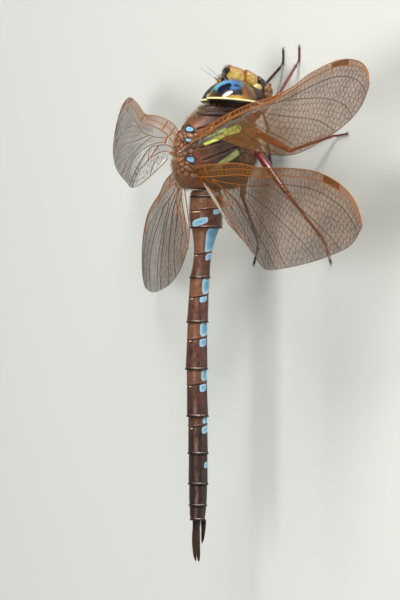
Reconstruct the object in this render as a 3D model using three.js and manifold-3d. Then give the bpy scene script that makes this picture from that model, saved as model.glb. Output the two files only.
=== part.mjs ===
// A brown hawker dragonfly (Aeshna grandis, male) standing on its six feet, life size.
// Millimetres. +Z up, the head towards -Y, the animal's left side towards +X.
// Inside the body group the origin is the waist, where the trunk meets the abdomen: x to the
// left, y to the tail, z up from the abdomen's axis. The group is then set on the floor.
import * as THREE from "three";
import { mergeVertices } from "three/addons/utils/BufferGeometryUtils.js";
import Module from "manifold-3d";

const wasm = await Module();
wasm.setup();

// ---- driving dimensions ----
const AXIS_HEIGHT = 15.5; // abdomen's axis above the floor
const GAP = 0.3; // clearance between neighbouring pieces
const WING_THICKNESS = 0.5;
const FEELER_RADIUS = 0.25;
const FOOT_RADIUS = 0.32;
const FOOT_HEIGHT = 0.22; // the foot's middle line above the floor: less than its radius, for a flat sole

const ABDOMEN_SIDES = 14;
const LEG_SIDES = 8;

// ---- finishes ----
const finish = (color, roughness) => new THREE.MeshStandardMaterial({ color, roughness, metalness: 0 });
const FINISH = {
  chitin: finish(0x6b3a22, 0.35),
  thorax: finish(0x5a2f1c, 0.6),
  eye: finish(0x3b4a55, 0.1),
  face: finish(0xc08a2c, 0.35),
  mouth: finish(0x8a5a34, 0.5),
  wing: Object.assign(finish(0xa8743c, 0.25), { transparent: true, opacity: 0.6 }),
  leg: finish(0x5c1f14, 0.3),
  feeler: finish(0x2a211b, 0.5),
};

// ---- meshes and solids ----

// Turns a closed indexed mesh so that its faces point outwards.
function outward(positions, index) {
  const v = (i) => new THREE.Vector3(positions[3 * i], positions[3 * i + 1], positions[3 * i + 2]);
  let volume = 0;
  for (let i = 0; i < index.length; i += 3) {
    volume += v(index[i]).dot(v(index[i + 1]).cross(v(index[i + 2])));
  }
  if (volume < 0) {
    for (let i = 0; i < index.length; i += 3) {
      [index[i + 1], index[i + 2]] = [index[i + 2], index[i + 1]];
    }
  }
  const geometry = new THREE.BufferGeometry();
  geometry.setAttribute("position", new THREE.Float32BufferAttribute(positions, 3));
  geometry.setIndex(index);
  return geometry;
}

// Joins rings of equally many points into one closed body, each end closed by a fan.
function loft(rings) {
  const sides = rings[0].length;
  const positions = [];
  const index = [];
  rings.flat().forEach((p) => positions.push(p.x, p.y, p.z));
  for (let i = 0; i + 1 < rings.length; i++) {
    for (let j = 0; j < sides; j++) {
      const a = i * sides + j;
      const b = i * sides + ((j + 1) % sides);
      index.push(a, b, b + sides, a, b + sides, a + sides);
    }
  }
  const ends = [
    [rings[0], 0, true],
    [rings.at(-1), (rings.length - 1) * sides, false],
  ];
  for (const [ring, start, turned] of ends) {
    const centre = ring.reduce((sum, p) => sum.add(p), new THREE.Vector3()).divideScalar(sides);
    const hub = positions.length / 3;
    positions.push(centre.x, centre.y, centre.z);
    for (let j = 0; j < sides; j++) {
      const a = start + j;
      const b = start + ((j + 1) % sides);
      index.push(...(turned ? [hub, b, a] : [hub, a, b]));
    }
  }
  return outward(positions, index);
}

function solidOf(geometry) {
  const bare = geometry.clone();
  bare.deleteAttribute("normal");
  bare.deleteAttribute("uv");
  const merged = mergeVertices(bare, 1e-4);
  return new wasm.Manifold(
    new wasm.Mesh({
      numProp: 3,
      vertProperties: merged.attributes.position.array,
      triVerts: new Uint32Array(merged.index.array),
    }),
  );
}

function geometryOf(solid) {
  const { numProp, numVert, vertProperties, triVerts } = solid.getMesh();
  const positions = new Float32Array(numVert * 3);
  for (let i = 0; i < numVert; i++) {
    positions.set(vertProperties.subarray(i * numProp, i * numProp + 3), i * 3);
  }
  const geometry = new THREE.BufferGeometry();
  geometry.setAttribute("position", new THREE.BufferAttribute(positions, 3));
  geometry.setIndex(new THREE.BufferAttribute(triVerts, 1));
  return geometry;
}

const radians = (degrees) => (degrees * Math.PI) / 180;

// The biggest of the bodies a cut has left.
const largest = (solid) => solid.decompose().sort((a, b) => b.volume() - a.volume())[0];

const body = new THREE.Group();

function add(name, geometry, material, parent = body) {
  const mesh = new THREE.Mesh(geometry, material);
  mesh.name = name;
  parent.add(mesh);
  return mesh;
}

const SIDES = [["left", 1], ["right", -1]];

// An ellipsoid with its centre and half axes given as (x, y, z); a fullness under 1 makes it boxier.
function ellipsoid(centre, half, rows = 10, columns = 16, fullness = 1) {
  const bulge = (v) => Math.sign(v) * Math.abs(v) ** fullness;
  const rings = [];
  for (let i = 1; i < rows; i++) {
    const tilt = (Math.PI * i) / rows;
    rings.push(
      Array.from({ length: columns }, (_, j) => {
        const turn = (2 * Math.PI * j) / columns;
        return new THREE.Vector3(
          centre[0] + half[0] * bulge(Math.sin(tilt) * Math.cos(turn)),
          centre[1] - half[1] * bulge(Math.cos(tilt)),
          centre[2] + half[2] * bulge(Math.sin(tilt) * Math.sin(turn)),
        );
      }),
    );
  }
  return loft(rings);
}

// A box between two corners, for plane cuts.
function block(low, high) {
  const size = high.map((h, k) => h - low[k]);
  const geometry = new THREE.BoxGeometry(...size);
  geometry.translate(...high.map((h, k) => (h + low[k]) / 2));
  return solidOf(geometry);
}

// Values of a table's columns at y, by a Catmull-Rom spline through its rows (first column is y).
function station(table, y) {
  let i = table.findIndex((row) => row[0] > y) - 1;
  if (i < 0) i = y < table[0][0] ? 0 : table.length - 2;
  const at = (k) => table[Math.min(Math.max(k, 0), table.length - 1)];
  const f = Math.min(Math.max((y - at(i)[0]) / (at(i + 1)[0] - at(i)[0]), 0), 1);
  return at(i).map((_, c) => {
    const [a, b, d, e] = [at(i - 1)[c], at(i)[c], at(i + 1)[c], at(i + 2)[c]];
    const start = (d - a) / 2;
    const end = (e - b) / 2;
    return b + f * (start + f * (3 * (d - b) - 2 * start - end + f * (2 * (b - d) + start + end)));
  });
}

// ---- trunk ----

// Rows from neck to waist: y, top, bottom and half width.
const TRUNK = [
  [-11.75, 0.3, -7.4, 2.5],
  [-11.1, 1.6, -8.3, 3.2],
  [-9.9, 2.8, -8.9, 3.7],
  [-8.0, 3.7, -9.2, 4.0],
  [-5.5, 4.2, -9.0, 4.05],
  [-3.0, 4.1, -7.9, 3.8],
  [-1.2, 3.3, -6.3, 3.3],
  [-0.3, 2.4, -5.0, 2.8],
];
const TRUNK_KEEL = 0.3; // how much narrower the trunk is at its keel
const TRUNK_FULLNESS = 0.75; // below 1 makes the sides fuller than an ellipse

function trunkRing(y, grow, sides) {
  const [, top, bottom, halfWidth] = station(TRUNK, y);
  return Array.from({ length: sides }, (_, j) => {
    const turn = (2 * Math.PI * j) / sides;
    const depth = (1 - Math.cos(turn)) / 2;
    const reach = Math.abs(Math.sin(turn)) ** TRUNK_FULLNESS * (1 - TRUNK_KEEL * depth);
    return new THREE.Vector3(
      Math.sign(Math.sin(turn)) * reach * (halfWidth + grow),
      y,
      top + grow + (bottom - top - 2 * grow) * depth,
    );
  });
}

function trunk(grow = 0, rows = 14, sides = 24) {
  const [front, back] = [TRUNK[0][0] - grow, TRUNK.at(-1)[0] + grow];
  const rings = [];
  for (let i = 0; i <= rows; i++) rings.push(trunkRing(front + ((back - front) * i) / rows, grow, sides));
  return loft(rings);
}

const aroundTrunk = solidOf(trunk(GAP));
add("thorax", trunk(), FINISH.thorax);

// ---- abdomen ----

// Rows from waist to tail: name, length, half height at front, middle and back, centre height at
// front and back, and half width as a share of half height.
const ABDOMEN = [
  ["abdomen_01", 0.95, 2.45, 2.55, 2.6, -1.2, -1.25, 1.0],
  ["abdomen_02", 4.55, 2.6, 2.7, 2.6, -1.25, -1.2, 0.98],
  ["abdomen_03", 7.45, 2.3, 1.5, 1.75, -1.1, -0.15, 0.92],
  ["abdomen_04", 6.6, 1.62, 1.66, 1.78, -0.12, 0.25, 0.97],
  ["abdomen_05", 7.0, 1.64, 1.7, 1.83, 0.25, 0.38, 1.0],
  ["abdomen_06", 7.0, 1.65, 1.68, 1.77, 0.38, 0.2, 1.02],
  ["abdomen_07", 5.55, 1.56, 1.58, 1.64, 0.2, 0.14, 1.05],
  ["abdomen_08", 4.55, 1.52, 1.54, 1.58, 0.14, 0.14, 1.08],
  ["abdomen_09", 3.2, 1.46, 1.45, 1.4, 0.14, 0.2, 1.08],
  ["abdomen_10", 2.1, 1.34, 1.28, 1.12, 0.2, 0.3, 1.08],
];
const VENTER_SHARE = 0.86; // half height below the centre as a share of that above

function abdomenRing(y, centre, halfHeight, widthShare) {
  return Array.from({ length: ABDOMEN_SIDES }, (_, j) => {
    const turn = (2 * Math.PI * j) / ABDOMEN_SIDES;
    const rise = Math.cos(turn) * (Math.cos(turn) < 0 ? VENTER_SHARE : 1);
    return new THREE.Vector3(halfHeight * widthShare * Math.sin(turn), y, centre + halfHeight * rise);
  });
}

let tail = 0;
for (const [name, length, front, middle, back, centreFront, centreBack, widthShare] of ABDOMEN) {
  const rings = [];
  const rows = length < 2.5 ? 2 : 4;
  for (let i = 0; i <= rows; i++) {
    const f = i / rows;
    const halfHeight = front * (1 - f) * (1 - 2 * f) + middle * 4 * f * (1 - f) + back * f * (2 * f - 1);
    const centre = centreFront + (centreBack - centreFront) * f;
    rings.push(abdomenRing(tail + (length - GAP) * f, centre, halfHeight, widthShare));
  }
  add(name, loft(rings), FINISH.chitin);
  tail += length;
}

// ---- claspers at the tail ----

const CLASPER_LENGTH = 6.1;
const CLASPER_HEIGHT = 0.55;

// Rings along y of an oval blade: rows are share of length, half width, half height and offset of
// its middle line outwards and upwards.
function blade(table, start, length, side, height) {
  return loft(
    table.map(([share, halfWidth, halfHeight, out, up]) =>
      Array.from({ length: 8 }, (_, j) => {
        const turn = (2 * Math.PI * j) / 8;
        return new THREE.Vector3(
          side * out + halfWidth * Math.cos(turn),
          start + length * share,
          height + up + halfHeight * Math.sin(turn),
        );
      }),
    ),
  );
}

const CLASPER = [
  [0.0, 0.25, 0.25, 0.62, 0.0],
  [0.15, 0.26, 0.26, 0.66, 0.05],
  [0.35, 0.45, 0.3, 0.66, 0.1],
  [0.6, 0.52, 0.3, 0.67, 0.1],
  [0.85, 0.42, 0.27, 0.64, 0.0],
  [1.0, 0.15, 0.15, 0.5, -0.1],
];
for (const [sideName, side] of SIDES) {
  add(`clasper_${sideName}`, blade(CLASPER, tail, CLASPER_LENGTH, side, CLASPER_HEIGHT), FINISH.chitin);
}
const LOWER_CLASPER = [
  [0.0, 0.8, 0.3, 0, 0],
  [0.4, 0.6, 0.28, 0, 0],
  [1.0, 0.2, 0.25, 0, 0.2],
];
add("clasper_lower", blade(LOWER_CLASPER, tail, 3.4, 1, -0.55), FINISH.chitin);

// ---- head ----

// The head turns about its middle: rolled with the right eye up, and nodding with its top back.
const HEAD_MIDDLE = [0, -14.6, -4.7];
const HEAD_ROLL = 11;
const HEAD_NOD = 5;
const EYE_CENTRE = [1.7, -12.0, -5.1];
const EYE_HALF = [3.2, 4.9, 4.25];
const HEAD_BACK = -13.6; // plane that ends the eyes at the back of the head
const FAR = 40;

const headAngles = new THREE.Euler(radians(HEAD_NOD), radians(HEAD_ROLL), 0);
const headTurn = new THREE.Matrix4()
  .makeTranslation(...HEAD_MIDDLE)
  .multiply(new THREE.Matrix4().makeRotationFromEuler(headAngles))
  .multiply(new THREE.Matrix4().makeTranslation(...HEAD_MIDDLE.map((v) => -v)));
const turned = (geometry) => geometry.applyMatrix4(headTurn);

const behindHead = block([-FAR, HEAD_BACK, -FAR], [FAR, FAR, FAR]);
function eye(side, grow) {
  const centre = [side * EYE_CENTRE[0], EYE_CENTRE[1], EYE_CENTRE[2]];
  return solidOf(ellipsoid(centre, EYE_HALF.map((h) => h + grow), 22, 20));
}
for (const [sideName, side] of SIDES) {
  const otherHalf = side > 0
    ? block([-FAR, -FAR, -FAR], [GAP / 2, FAR, FAR])
    : block([-GAP / 2, -FAR, -FAR], [FAR, FAR, FAR]);
  const ownEye = eye(side, 0).subtract(otherHalf).subtract(behindHead);
  add(`eye_${sideName}`, turned(geometryOf(ownEye)), FINISH.eye);
}
const behindEyes = block([-FAR, HEAD_BACK + GAP, -FAR], [FAR, FAR, FAR]);
const aroundEyes = eye(1, GAP).add(eye(-1, GAP)).subtract(behindEyes);

const FACE_FULLNESS = 0.8;
// Face pieces from crown to chin: name, centre and half axes.
const FACE = [
  ["crown", [0, -16.4, -3.0], [0.7, 0.6, 0.6], FINISH.face],
  ["frons", [0, -17.4, -5.1], [2.2, 1.75, 1.55], FINISH.face],
  ["clypeus", [0, -17.1, -7.5], [2.15, 1.35, 1.2], FINISH.face],
  ["labrum", [0, -16.6, -9.2], [1.9, 1.2, 0.95], FINISH.face],
  ["labium", [0, -15.6, -10.4], [2.1, 1.35, 0.85], FINISH.mouth],
];
let taken = aroundEyes;
const headPieces = [];
for (const [name, centre, half, material] of FACE) {
  const full = solidOf(ellipsoid(centre, half, 10, 18, FACE_FULLNESS));
  headPieces.push([name, full.subtract(taken), material]);
  taken = taken.add(solidOf(ellipsoid(centre, half.map((h) => h + GAP), 10, 18, FACE_FULLNESS)));
}
const capsule = solidOf(ellipsoid([0, -14.6, -6.4], [3.3, 2.0, 3.9], 10, 16))
  .add(solidOf(ellipsoid([0, -13.3, -5.1], [4.75, 0.45, 4.15], 8, 20)));
headPieces.push(["head", capsule.subtract(taken), FINISH.mouth]);
for (const [name, solid, material] of headPieces) {
  add(name, turned(geometryOf(largest(solid))), material);
}

// ---- neck ----

add("neck", ellipsoid([0, -12.3, -3.8], [2.5, 0.25, 3.1], 6, 14, 0.8), FINISH.thorax);

// ---- tubes for feelers and legs ----

// A tube through the points, with a radius at each of them.
function tube(points, radii, sides = LEG_SIDES) {
  const path = points.map((p) => new THREE.Vector3(...p));
  const tangents = path.map((_, i) =>
    path[Math.min(i + 1, path.length - 1)].clone().sub(path[Math.max(i - 1, 0)]).normalize(),
  );
  let across = new THREE.Vector3(0, 0, 1).cross(tangents[0]);
  if (across.length() < 0.1) across = new THREE.Vector3(0, 1, 0).cross(tangents[0]);
  const rings = path.map((p, i) => {
    across.addScaledVector(tangents[i], -across.dot(tangents[i])).normalize();
    const up = tangents[i].clone().cross(across);
    return Array.from({ length: sides }, (_, j) => {
      const turn = (2 * Math.PI * (j + 0.5)) / sides;
      return p
        .clone()
        .addScaledVector(across, radii[i] * Math.cos(turn))
        .addScaledVector(up, radii[i] * Math.sin(turn));
    });
  });
  return loft(rings);
}

for (const [sideName, side] of SIDES) {
  const root = [side * 0.9, -17.05, -2.95];
  const middle = [side * 1.35, -17.95, -1.9];
  const tip = [side * 1.7, -18.6, -0.7];
  const feeler = tube([root, middle, tip], [0.3, FEELER_RADIUS, FEELER_RADIUS], 6);
  add(`antenna_${sideName}`, turned(feeler), FINISH.feeler);
}

// ---- legs ----

// Joints as (out from the middle, back from the waist, height above the abdomen's axis). The middle
// legs differ: the right one is stretched out, the left one folded low with its foot forward.
const legJoints = (hip, knee, ankle, toe) => ({ hip, knee, ankle, toe });
const FORE_LEG = legJoints([1.5, -11.2, -8.3], [4.3, -14.4, -10.9], [2.6, -19.3, -14.9], [2.6, -22.1]);
const MID_LEG = legJoints([1.7, -9.0, -8.6], [8.1, -6.0, -10.9], [13.9, -8.0, -14.9], [17.8, -8.2]);
const FOLDED_LEG = legJoints([1.7, -9.0, -8.6], [4.2, -4.4, -14.0], [7.2, -9.6, -14.9], [9.3, -12.7]);
const HIND_LEG = legJoints([1.8, -6.3, -8.5], [7.4, 0.3, -10.8], [10.4, 6.8, -14.9], [12.6, 10.8]);
const LEGS = {
  fore: { right: FORE_LEG, left: FORE_LEG, girth: 0.5 },
  mid: { right: MID_LEG, left: FOLDED_LEG, girth: 0.58 },
  hind: { right: HIND_LEG, left: HIND_LEG, girth: 0.62 },
};
const SOLE = -AXIS_HEIGHT; // the floor, in the body group
const underFloor = block([-FAR, -FAR, SOLE - FAR], [FAR, FAR, SOLE]);

// The point a share of the way from p to q.
const between = (p, q, share) => p.map((v, k) => v + (q[k] - v) * share);

for (const [pair, { girth, ...joints }] of Object.entries(LEGS)) {
  for (const [sideName, side] of SIDES) {
    const { hip, knee, ankle, toe } = joints[sideName];
    const sided = ([x, y, z]) => [side * x, y, z];
    const name = `leg_${pair}_${sideName}`;
    const length = (p, q) => Math.hypot(...p.map((v, k) => q[k] - v));
    const coxa = [hip[0] * 0.9, hip[1], hip[2] + 1.2];
    const thighEnd = between(hip, knee, 1 - 0.3 / length(hip, knee));
    const thigh = [
      [coxa, girth * 1.9],
      [hip, girth * 1.6],
      [between(hip, knee, 0.15), girth * 1.1],
      [between(hip, knee, 0.45), girth],
      [between(hip, knee, 0.85), girth * 0.85],
      [thighEnd, girth * 0.8],
    ];
    const thighTube = tube(thigh.map(([p]) => sided(p)), thigh.map(([, r]) => r));
    add(`${name}_femur`, geometryOf(largest(solidOf(thighTube).subtract(aroundTrunk))), FINISH.leg);

    const shinShares = [0, 0.15, 0.5, 1 - 0.3 / length(knee, ankle)];
    const shinPath = shinShares.map((share) => sided(between(knee, ankle, share)));
    const thighRoom = girth * 0.9 + GAP;
    const aroundThigh = tube([between(hip, knee, 0.7), thighEnd].map(sided), [thighRoom, thighRoom]);
    const shin = solidOf(tube(shinPath, [0.36, 0.36, 0.33, 0.3])).subtract(solidOf(aroundThigh));
    add(`${name}_tibia`, geometryOf(largest(shin)), FINISH.leg);

    const heel = [ankle[0], ankle[1], SOLE + FOOT_HEIGHT];
    const toes = [toe[0], toe[1], SOLE + FOOT_HEIGHT];
    const footPath = [heel, between(heel, toes, 0.5), toes].map(sided);
    const footTube = tube(footPath, [1.05, 1, 1].map((k) => k * FOOT_RADIUS));
    const shinRoom = 0.3 + GAP;
    const aroundShin = tube([between(knee, ankle, 0.8), ankle].map(sided), [shinRoom, shinRoom]);
    const foot = solidOf(footTube).subtract(underFloor).subtract(solidOf(aroundShin));
    add(`${name}_tarsus`, geometryOf(largest(foot)), FINISH.leg);
  }
}

// ---- wings ----

// Outlines as pairs of points (out along the wing, back across it): leading edge, trailing edge.
const FORE_OUTLINE = [
  [[0, -0.2], [0.3, 3.6]],
  [[3, -0.9], [2.6, 6.2]],
  [[8, -1.35], [7.4, 9.2]],
  [[15, -1.1], [14.5, 10.6]],
  [[23.2, -0.2], [22.5, 11.2]],
  [[31, -0.8], [30.5, 11.3]],
  [[38, -0.8], [37.5, 10.9]],
  [[43.2, 0.7], [42.8, 9.8]],
  [[46, 2.9], [45.8, 8.1]],
  [[47, 5.4], [47, 5.6]],
];
const HIND_OUTLINE = [
  [[0, 0], [0.2, 2.2]],
  [[3, -0.6], [1.2, 5.6]],
  [[7.5, -1.0], [3.2, 9.6]],
  [[13, -1.2], [10.0, 12.6]],
  [[18.8, -0.8], [17.2, 13.7]],
  [[26, -1.1], [25, 13.2]],
  [[33.5, -0.9], [32.8, 11.8]],
  [[40, 0.7], [39.4, 10.0]],
  [[43.9, 3.1], [43.5, 8.3]],
  [[45.5, 5.6], [45.5, 5.8]],
];

// Poses: droop below level and sweep forwards in degrees, how far the trailing edge tips up at the
// root and at the tip in degrees, the extra fall of the tip in millimetres, and the shares of the
// span between which the tip-up changes from one to the other.
const WINGS = {
  fore: {
    root: [2.9, -8.2, 2.4],
    outline: FORE_OUTLINE,
    left: [10.7, 12, 28, 9, 2.8, 0, 0.625],
    right: [4.6, 12.2, 62, 17, 0.9, 0.4, 0.68],
  },
  hind: {
    root: [2.8, -3.5, 1.6],
    outline: HIND_OUTLINE,
    left: [14.1, -12, -9, -1, 2.1, 0, 0.625],
    right: [2.4, -4.8, -30, 4, 1.2, 0, 0.625],
  },
};
const HINGE_LINE = 1.0; // distance back from the root at which the wing turns
const FRONT_TURN = radians(30); // the stiff front band tips no further than this
const CAMBER = 0.7; // how far the wing's middle stands above its edges

// A point of the wing in its own frame (x out, y back, z up), lifted off its middle surface.
function wingPoint([out, back], across, span, [tipUpRoot, tipUpTip, sag, from, to], lift) {
  const share = out / span;
  const turn = radians(tipUpRoot + (tipUpTip - tipUpRoot) * THREE.MathUtils.smoothstep(share, from, to));
  const frontTurn = Math.min(turn, FRONT_TURN);
  const camber = CAMBER * Math.sin(Math.PI * across) * Math.sin(Math.PI * share);
  const height = camber - sag * share * share + lift;
  const arm = back - HINGE_LINE;
  const ahead = Math.min(arm, 0);
  const behind = Math.max(arm, 0);
  const lean = frontTurn + (turn - frontTurn) * THREE.MathUtils.smoothstep(arm, -0.8, 0.8);
  return new THREE.Vector3(
    out,
    HINGE_LINE + ahead * Math.cos(frontTurn) + behind * Math.cos(turn) - height * Math.sin(lean),
    ahead * Math.sin(frontTurn) + behind * Math.sin(turn) + height * Math.cos(lean),
  );
}

function wing(outline, bend, side, rows = 18, columns = 4) {
  const edgeOf = (k) => new THREE.SplineCurve(outline.map((pair) => new THREE.Vector2(...pair[k])));
  const edges = [edgeOf(0), edgeOf(1)];
  const span = outline.at(-1)[0][0];
  const rings = [];
  for (let i = 0; i <= rows; i++) {
    const [lead, trail] = edges.map((edge) => edge.getPoint(i / rows));
    const face = (lift) => Array.from({ length: columns + 1 }, (_, j) => {
      const across = j / columns;
      const place = [lead.x + (trail.x - lead.x) * across, lead.y + (trail.y - lead.y) * across];
      const p = wingPoint(place, across, span, bend, lift);
      return new THREE.Vector3(side * p.x, p.y, p.z);
    });
    rings.push([...face(WING_THICKNESS / 2), ...face(-WING_THICKNESS / 2).reverse()]);
  }
  return loft(rings);
}

for (const [pair, { root, outline, ...poses }] of Object.entries(WINGS)) {
  for (const [sideName, side] of SIDES) {
    const [droop, sweep, ...bend] = poses[sideName];
    const hinge = new THREE.Group();
    hinge.position.set(side * root[0], root[1], root[2]);
    hinge.rotation.set(0, side * radians(droop), -side * radians(sweep), "YZX");
    body.add(hinge);
    hinge.updateMatrix();
    const clearing = aroundTrunk.transform(hinge.matrix.clone().invert().toArray());
    const cut = solidOf(wing(outline, bend, side)).subtract(clearing);
    add(`wing_${pair}_${sideName}`, geometryOf(largest(cut)), FINISH.wing, hinge);
  }
}

// ---- on the floor, with the origin under the middle of the box round the model ----

const model = new THREE.Group();
model.add(body);
model.updateMatrixWorld(true);
const around = new THREE.Box3().setFromObject(model, true);
const middle = around.getCenter(new THREE.Vector3());
body.position.set(-middle.x, -middle.y, AXIS_HEIGHT);

export default model;
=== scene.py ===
# %% [markdown]
# # A brown hawker dragonfly
# The real animal is a male brown hawker, a large dragonfly: a brown glossy body with blue marks,
# two great eyes, and four amber wings on a net of veins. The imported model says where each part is
# and how big it is. This notebook makes the surfaces that are seen. It works in millimetres from the
# waist, where trunk and abdomen meet, and only turns to metres when a mesh is made.

# %% The frame
import bpy
import numpy as np
from mathutils import Matrix, Vector, geometry


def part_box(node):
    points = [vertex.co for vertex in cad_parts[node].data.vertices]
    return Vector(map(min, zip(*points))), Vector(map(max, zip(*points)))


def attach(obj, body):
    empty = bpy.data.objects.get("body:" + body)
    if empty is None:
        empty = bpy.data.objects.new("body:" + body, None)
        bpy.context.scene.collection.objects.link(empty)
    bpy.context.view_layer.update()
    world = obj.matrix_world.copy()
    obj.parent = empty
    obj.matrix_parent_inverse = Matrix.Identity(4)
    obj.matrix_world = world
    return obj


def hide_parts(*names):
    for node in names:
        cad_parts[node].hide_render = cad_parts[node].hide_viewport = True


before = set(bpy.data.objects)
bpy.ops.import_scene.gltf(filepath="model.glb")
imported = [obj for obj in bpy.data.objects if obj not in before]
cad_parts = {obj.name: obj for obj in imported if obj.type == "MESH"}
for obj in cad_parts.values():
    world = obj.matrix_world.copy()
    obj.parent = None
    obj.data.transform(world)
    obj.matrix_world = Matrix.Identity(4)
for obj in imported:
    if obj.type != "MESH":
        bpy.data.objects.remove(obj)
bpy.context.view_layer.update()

# %% The waist, from which all is measured
MM = 0.001
AXIS_HEIGHT = 15.5  # the abdomen's axis above the floor
waist_low, waist_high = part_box("abdomen_01")
WAIST = np.array([(waist_low[0] + waist_high[0]) / 2, waist_low[1], AXIS_HEIGHT * MM])
SIDES = {"left": 1, "right": -1}
SEED = 7
random = np.random.default_rng(SEED)
print("waist at", WAIST)

# %% [markdown]
# ## From numbers to meshes
# Blender can build a mesh from plain arrays. A shape here is a grid of points, worked out for the
# whole surface at once, and the faces are worked out from the grid's row and column numbers. That is
# quicker than adding points one by one, and the shape stays a formula that can be read.

# %% One closed mesh from arrays
def signed_volume(points, faces):
    """Sum over the triangles of a * (b x c) / 6: above zero where the faces point outwards."""
    total = 0
    for part in faces:
        for k in range(1, part.shape[1] - 1):
            a, b, c = points[part[:, 0]], points[part[:, k]], points[part[:, k + 1]]
            total += np.einsum("ij,ij->", a, np.cross(b, c)) / 6
    return total


def make_piece(name, points, faces, fields=None, smooth=True):
    """Points in millimetres from the waist and lists of corner numbers become one mesh object.

    Each entry of fields is a number for each point, kept as an attribute that a finish can read.
    """
    faces = [np.asarray(part, dtype=np.int32) for part in faces if len(part)]
    if signed_volume(points, faces) < 0:
        faces = [part[:, ::-1] for part in faces]
    mesh = bpy.data.meshes.new(name)
    mesh.vertices.add(len(points))
    mesh.vertices.foreach_set("co", (WAIST + points * MM).astype(np.float32).ravel())
    sizes = np.concatenate([np.full(len(part), part.shape[1], dtype=np.int32) for part in faces])
    mesh.loops.add(int(sizes.sum()))
    mesh.loops.foreach_set("vertex_index", np.concatenate([part.ravel() for part in faces]))
    mesh.polygons.add(len(sizes))
    starts = np.concatenate([[0], np.cumsum(sizes)[:-1]])
    mesh.polygons.foreach_set("loop_start", starts.astype(np.int32))
    mesh.polygons.foreach_set("use_smooth", np.full(len(sizes), smooth))
    for field, values in (fields or {}).items():
        layer = mesh.attributes.new(field, "FLOAT", "POINT")
        layer.data.foreach_set("value", np.broadcast_to(values, len(points)).astype(np.float32))
    mesh.update(calc_edges=True)
    mesh.validate()
    piece = bpy.data.objects.new(name, mesh)
    bpy.context.scene.collection.objects.link(piece)
    return piece


# %% Grids, circles and directions
def grid_of(x, y, z):
    """Points from three arrays that fit together once they are spread out to one shape."""
    return np.stack(np.broadcast_arrays(x, y, z), -1)


def turns(count):
    """Angles at equal steps once round a circle."""
    return np.linspace(0, 2 * np.pi, count, endpoint=False)


def unit(vectors):
    """Vectors divided by their own lengths."""
    return vectors / np.linalg.norm(vectors, axis=-1, keepdims=True)


def wrapped(angle):
    """The same angle counted from minus half a turn to half a turn."""
    return np.arctan2(np.sin(angle), np.cos(angle))


# %% A tube closed at both ends
def tube_faces(rows, columns):
    """Corner numbers of a closed tube of rows x columns points, followed by its two end points."""
    row, column = np.meshgrid(np.arange(rows - 1), np.arange(columns), indexing="ij")
    following = (column + 1) % columns
    here, above = row * columns, (row + 1) * columns
    quads = np.stack([here + column, here + following, above + following, above + column], -1)
    quads = quads.reshape(-1, 4)
    around = np.arange(columns)
    after = (around + 1) % columns
    low, high = rows * columns, rows * columns + 1
    start = np.stack([np.full(columns, low), after, around], -1)
    last = (rows - 1) * columns
    end = np.stack([np.full(columns, high), last + around, last + after], -1)
    return [quads, np.concatenate([start, end])]


def body_of(rings, fields):
    """A closed tube as (points, faces, fields): its rings, then the middle of the first and the last one.

    A field's value at such a middle is its mean over that ring.
    """
    rows, columns, _ = rings.shape
    points = np.concatenate([rings.reshape(-1, 3), [rings[0].mean(0)], [rings[-1].mean(0)]])
    kept = {}
    for field, values in fields.items():
        values = np.broadcast_to(values, (rows, columns))
        kept[field] = np.concatenate([values.ravel(), [values[0].mean()], [values[-1].mean()]])
    return points, tube_faces(rows, columns), kept


# %% Many closed bodies in one mesh
def join_bodies(bodies):
    """Puts (points, faces, fields) bodies after each other, moving each one's corner numbers along."""
    points, faces, fields = [], [], {}
    count = 0
    for body_points, body_faces, body_fields in bodies:
        points.append(body_points)
        faces += [np.asarray(part) + count for part in body_faces]
        for field, values in body_fields.items():
            fields.setdefault(field, []).append(np.broadcast_to(values, len(body_points)))
        count += len(body_points)
    quads = [part for part in faces if part.shape[1] == 4]
    triangles = [part for part in faces if part.shape[1] == 3]
    joined = [np.concatenate(part) for part in (quads, triangles) if part]
    kept = {field: np.concatenate(values) for field, values in fields.items()}
    return np.concatenate(points), joined, kept


# %% Frames along a path, for anything carried along it
def across_path(path):
    """Two unit vectors across a path at each point: one level where it can be, one square to both."""
    ahead = unit(np.gradient(path, axis=0))
    reference = np.array([0, 0, 1])
    if np.abs(ahead @ reference).max() > 0.95:
        reference = np.array([0, 1, 0])
    level = unit(np.cross(reference, ahead))
    return level, np.cross(ahead, level)


def carried_rings(path, half_wide, half_high, columns):
    """Ellipses carried along the path: half_wide on the level and half_high upright."""
    level, upright = across_path(path)
    angle = turns(columns)
    wide = np.broadcast_to(half_wide, len(path))[:, None, None] * np.cos(angle)[None, :, None]
    high = np.broadcast_to(half_high, len(path))[:, None, None] * np.sin(angle)[None, :, None]
    return path[:, None] + level[:, None] * wide + upright[:, None] * high


# %% Rings round the roots of straight hairs, spines and rods
def corner_rings(roots, ends, radius, columns):
    """Corners round each root, square to the way to its end, as steps away from the root."""
    ahead = unit(ends - roots)
    helper = np.where(np.abs(ahead[:, 2:]) > 0.8, [[1, 0, 0]], [[0, 0, 1]])
    across = unit(np.cross(helper, ahead))
    up = np.cross(ahead, across)
    angle = turns(columns)[:, None]
    radius = np.broadcast_to(radius, len(roots))[:, None, None]
    return radius * (across[:, None] * np.cos(angle) + up[:, None] * np.sin(angle))


# %% Smooth values between a few given ones
FINE_STEPS = 400  # points along a curve before it is cut in equal steps


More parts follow.
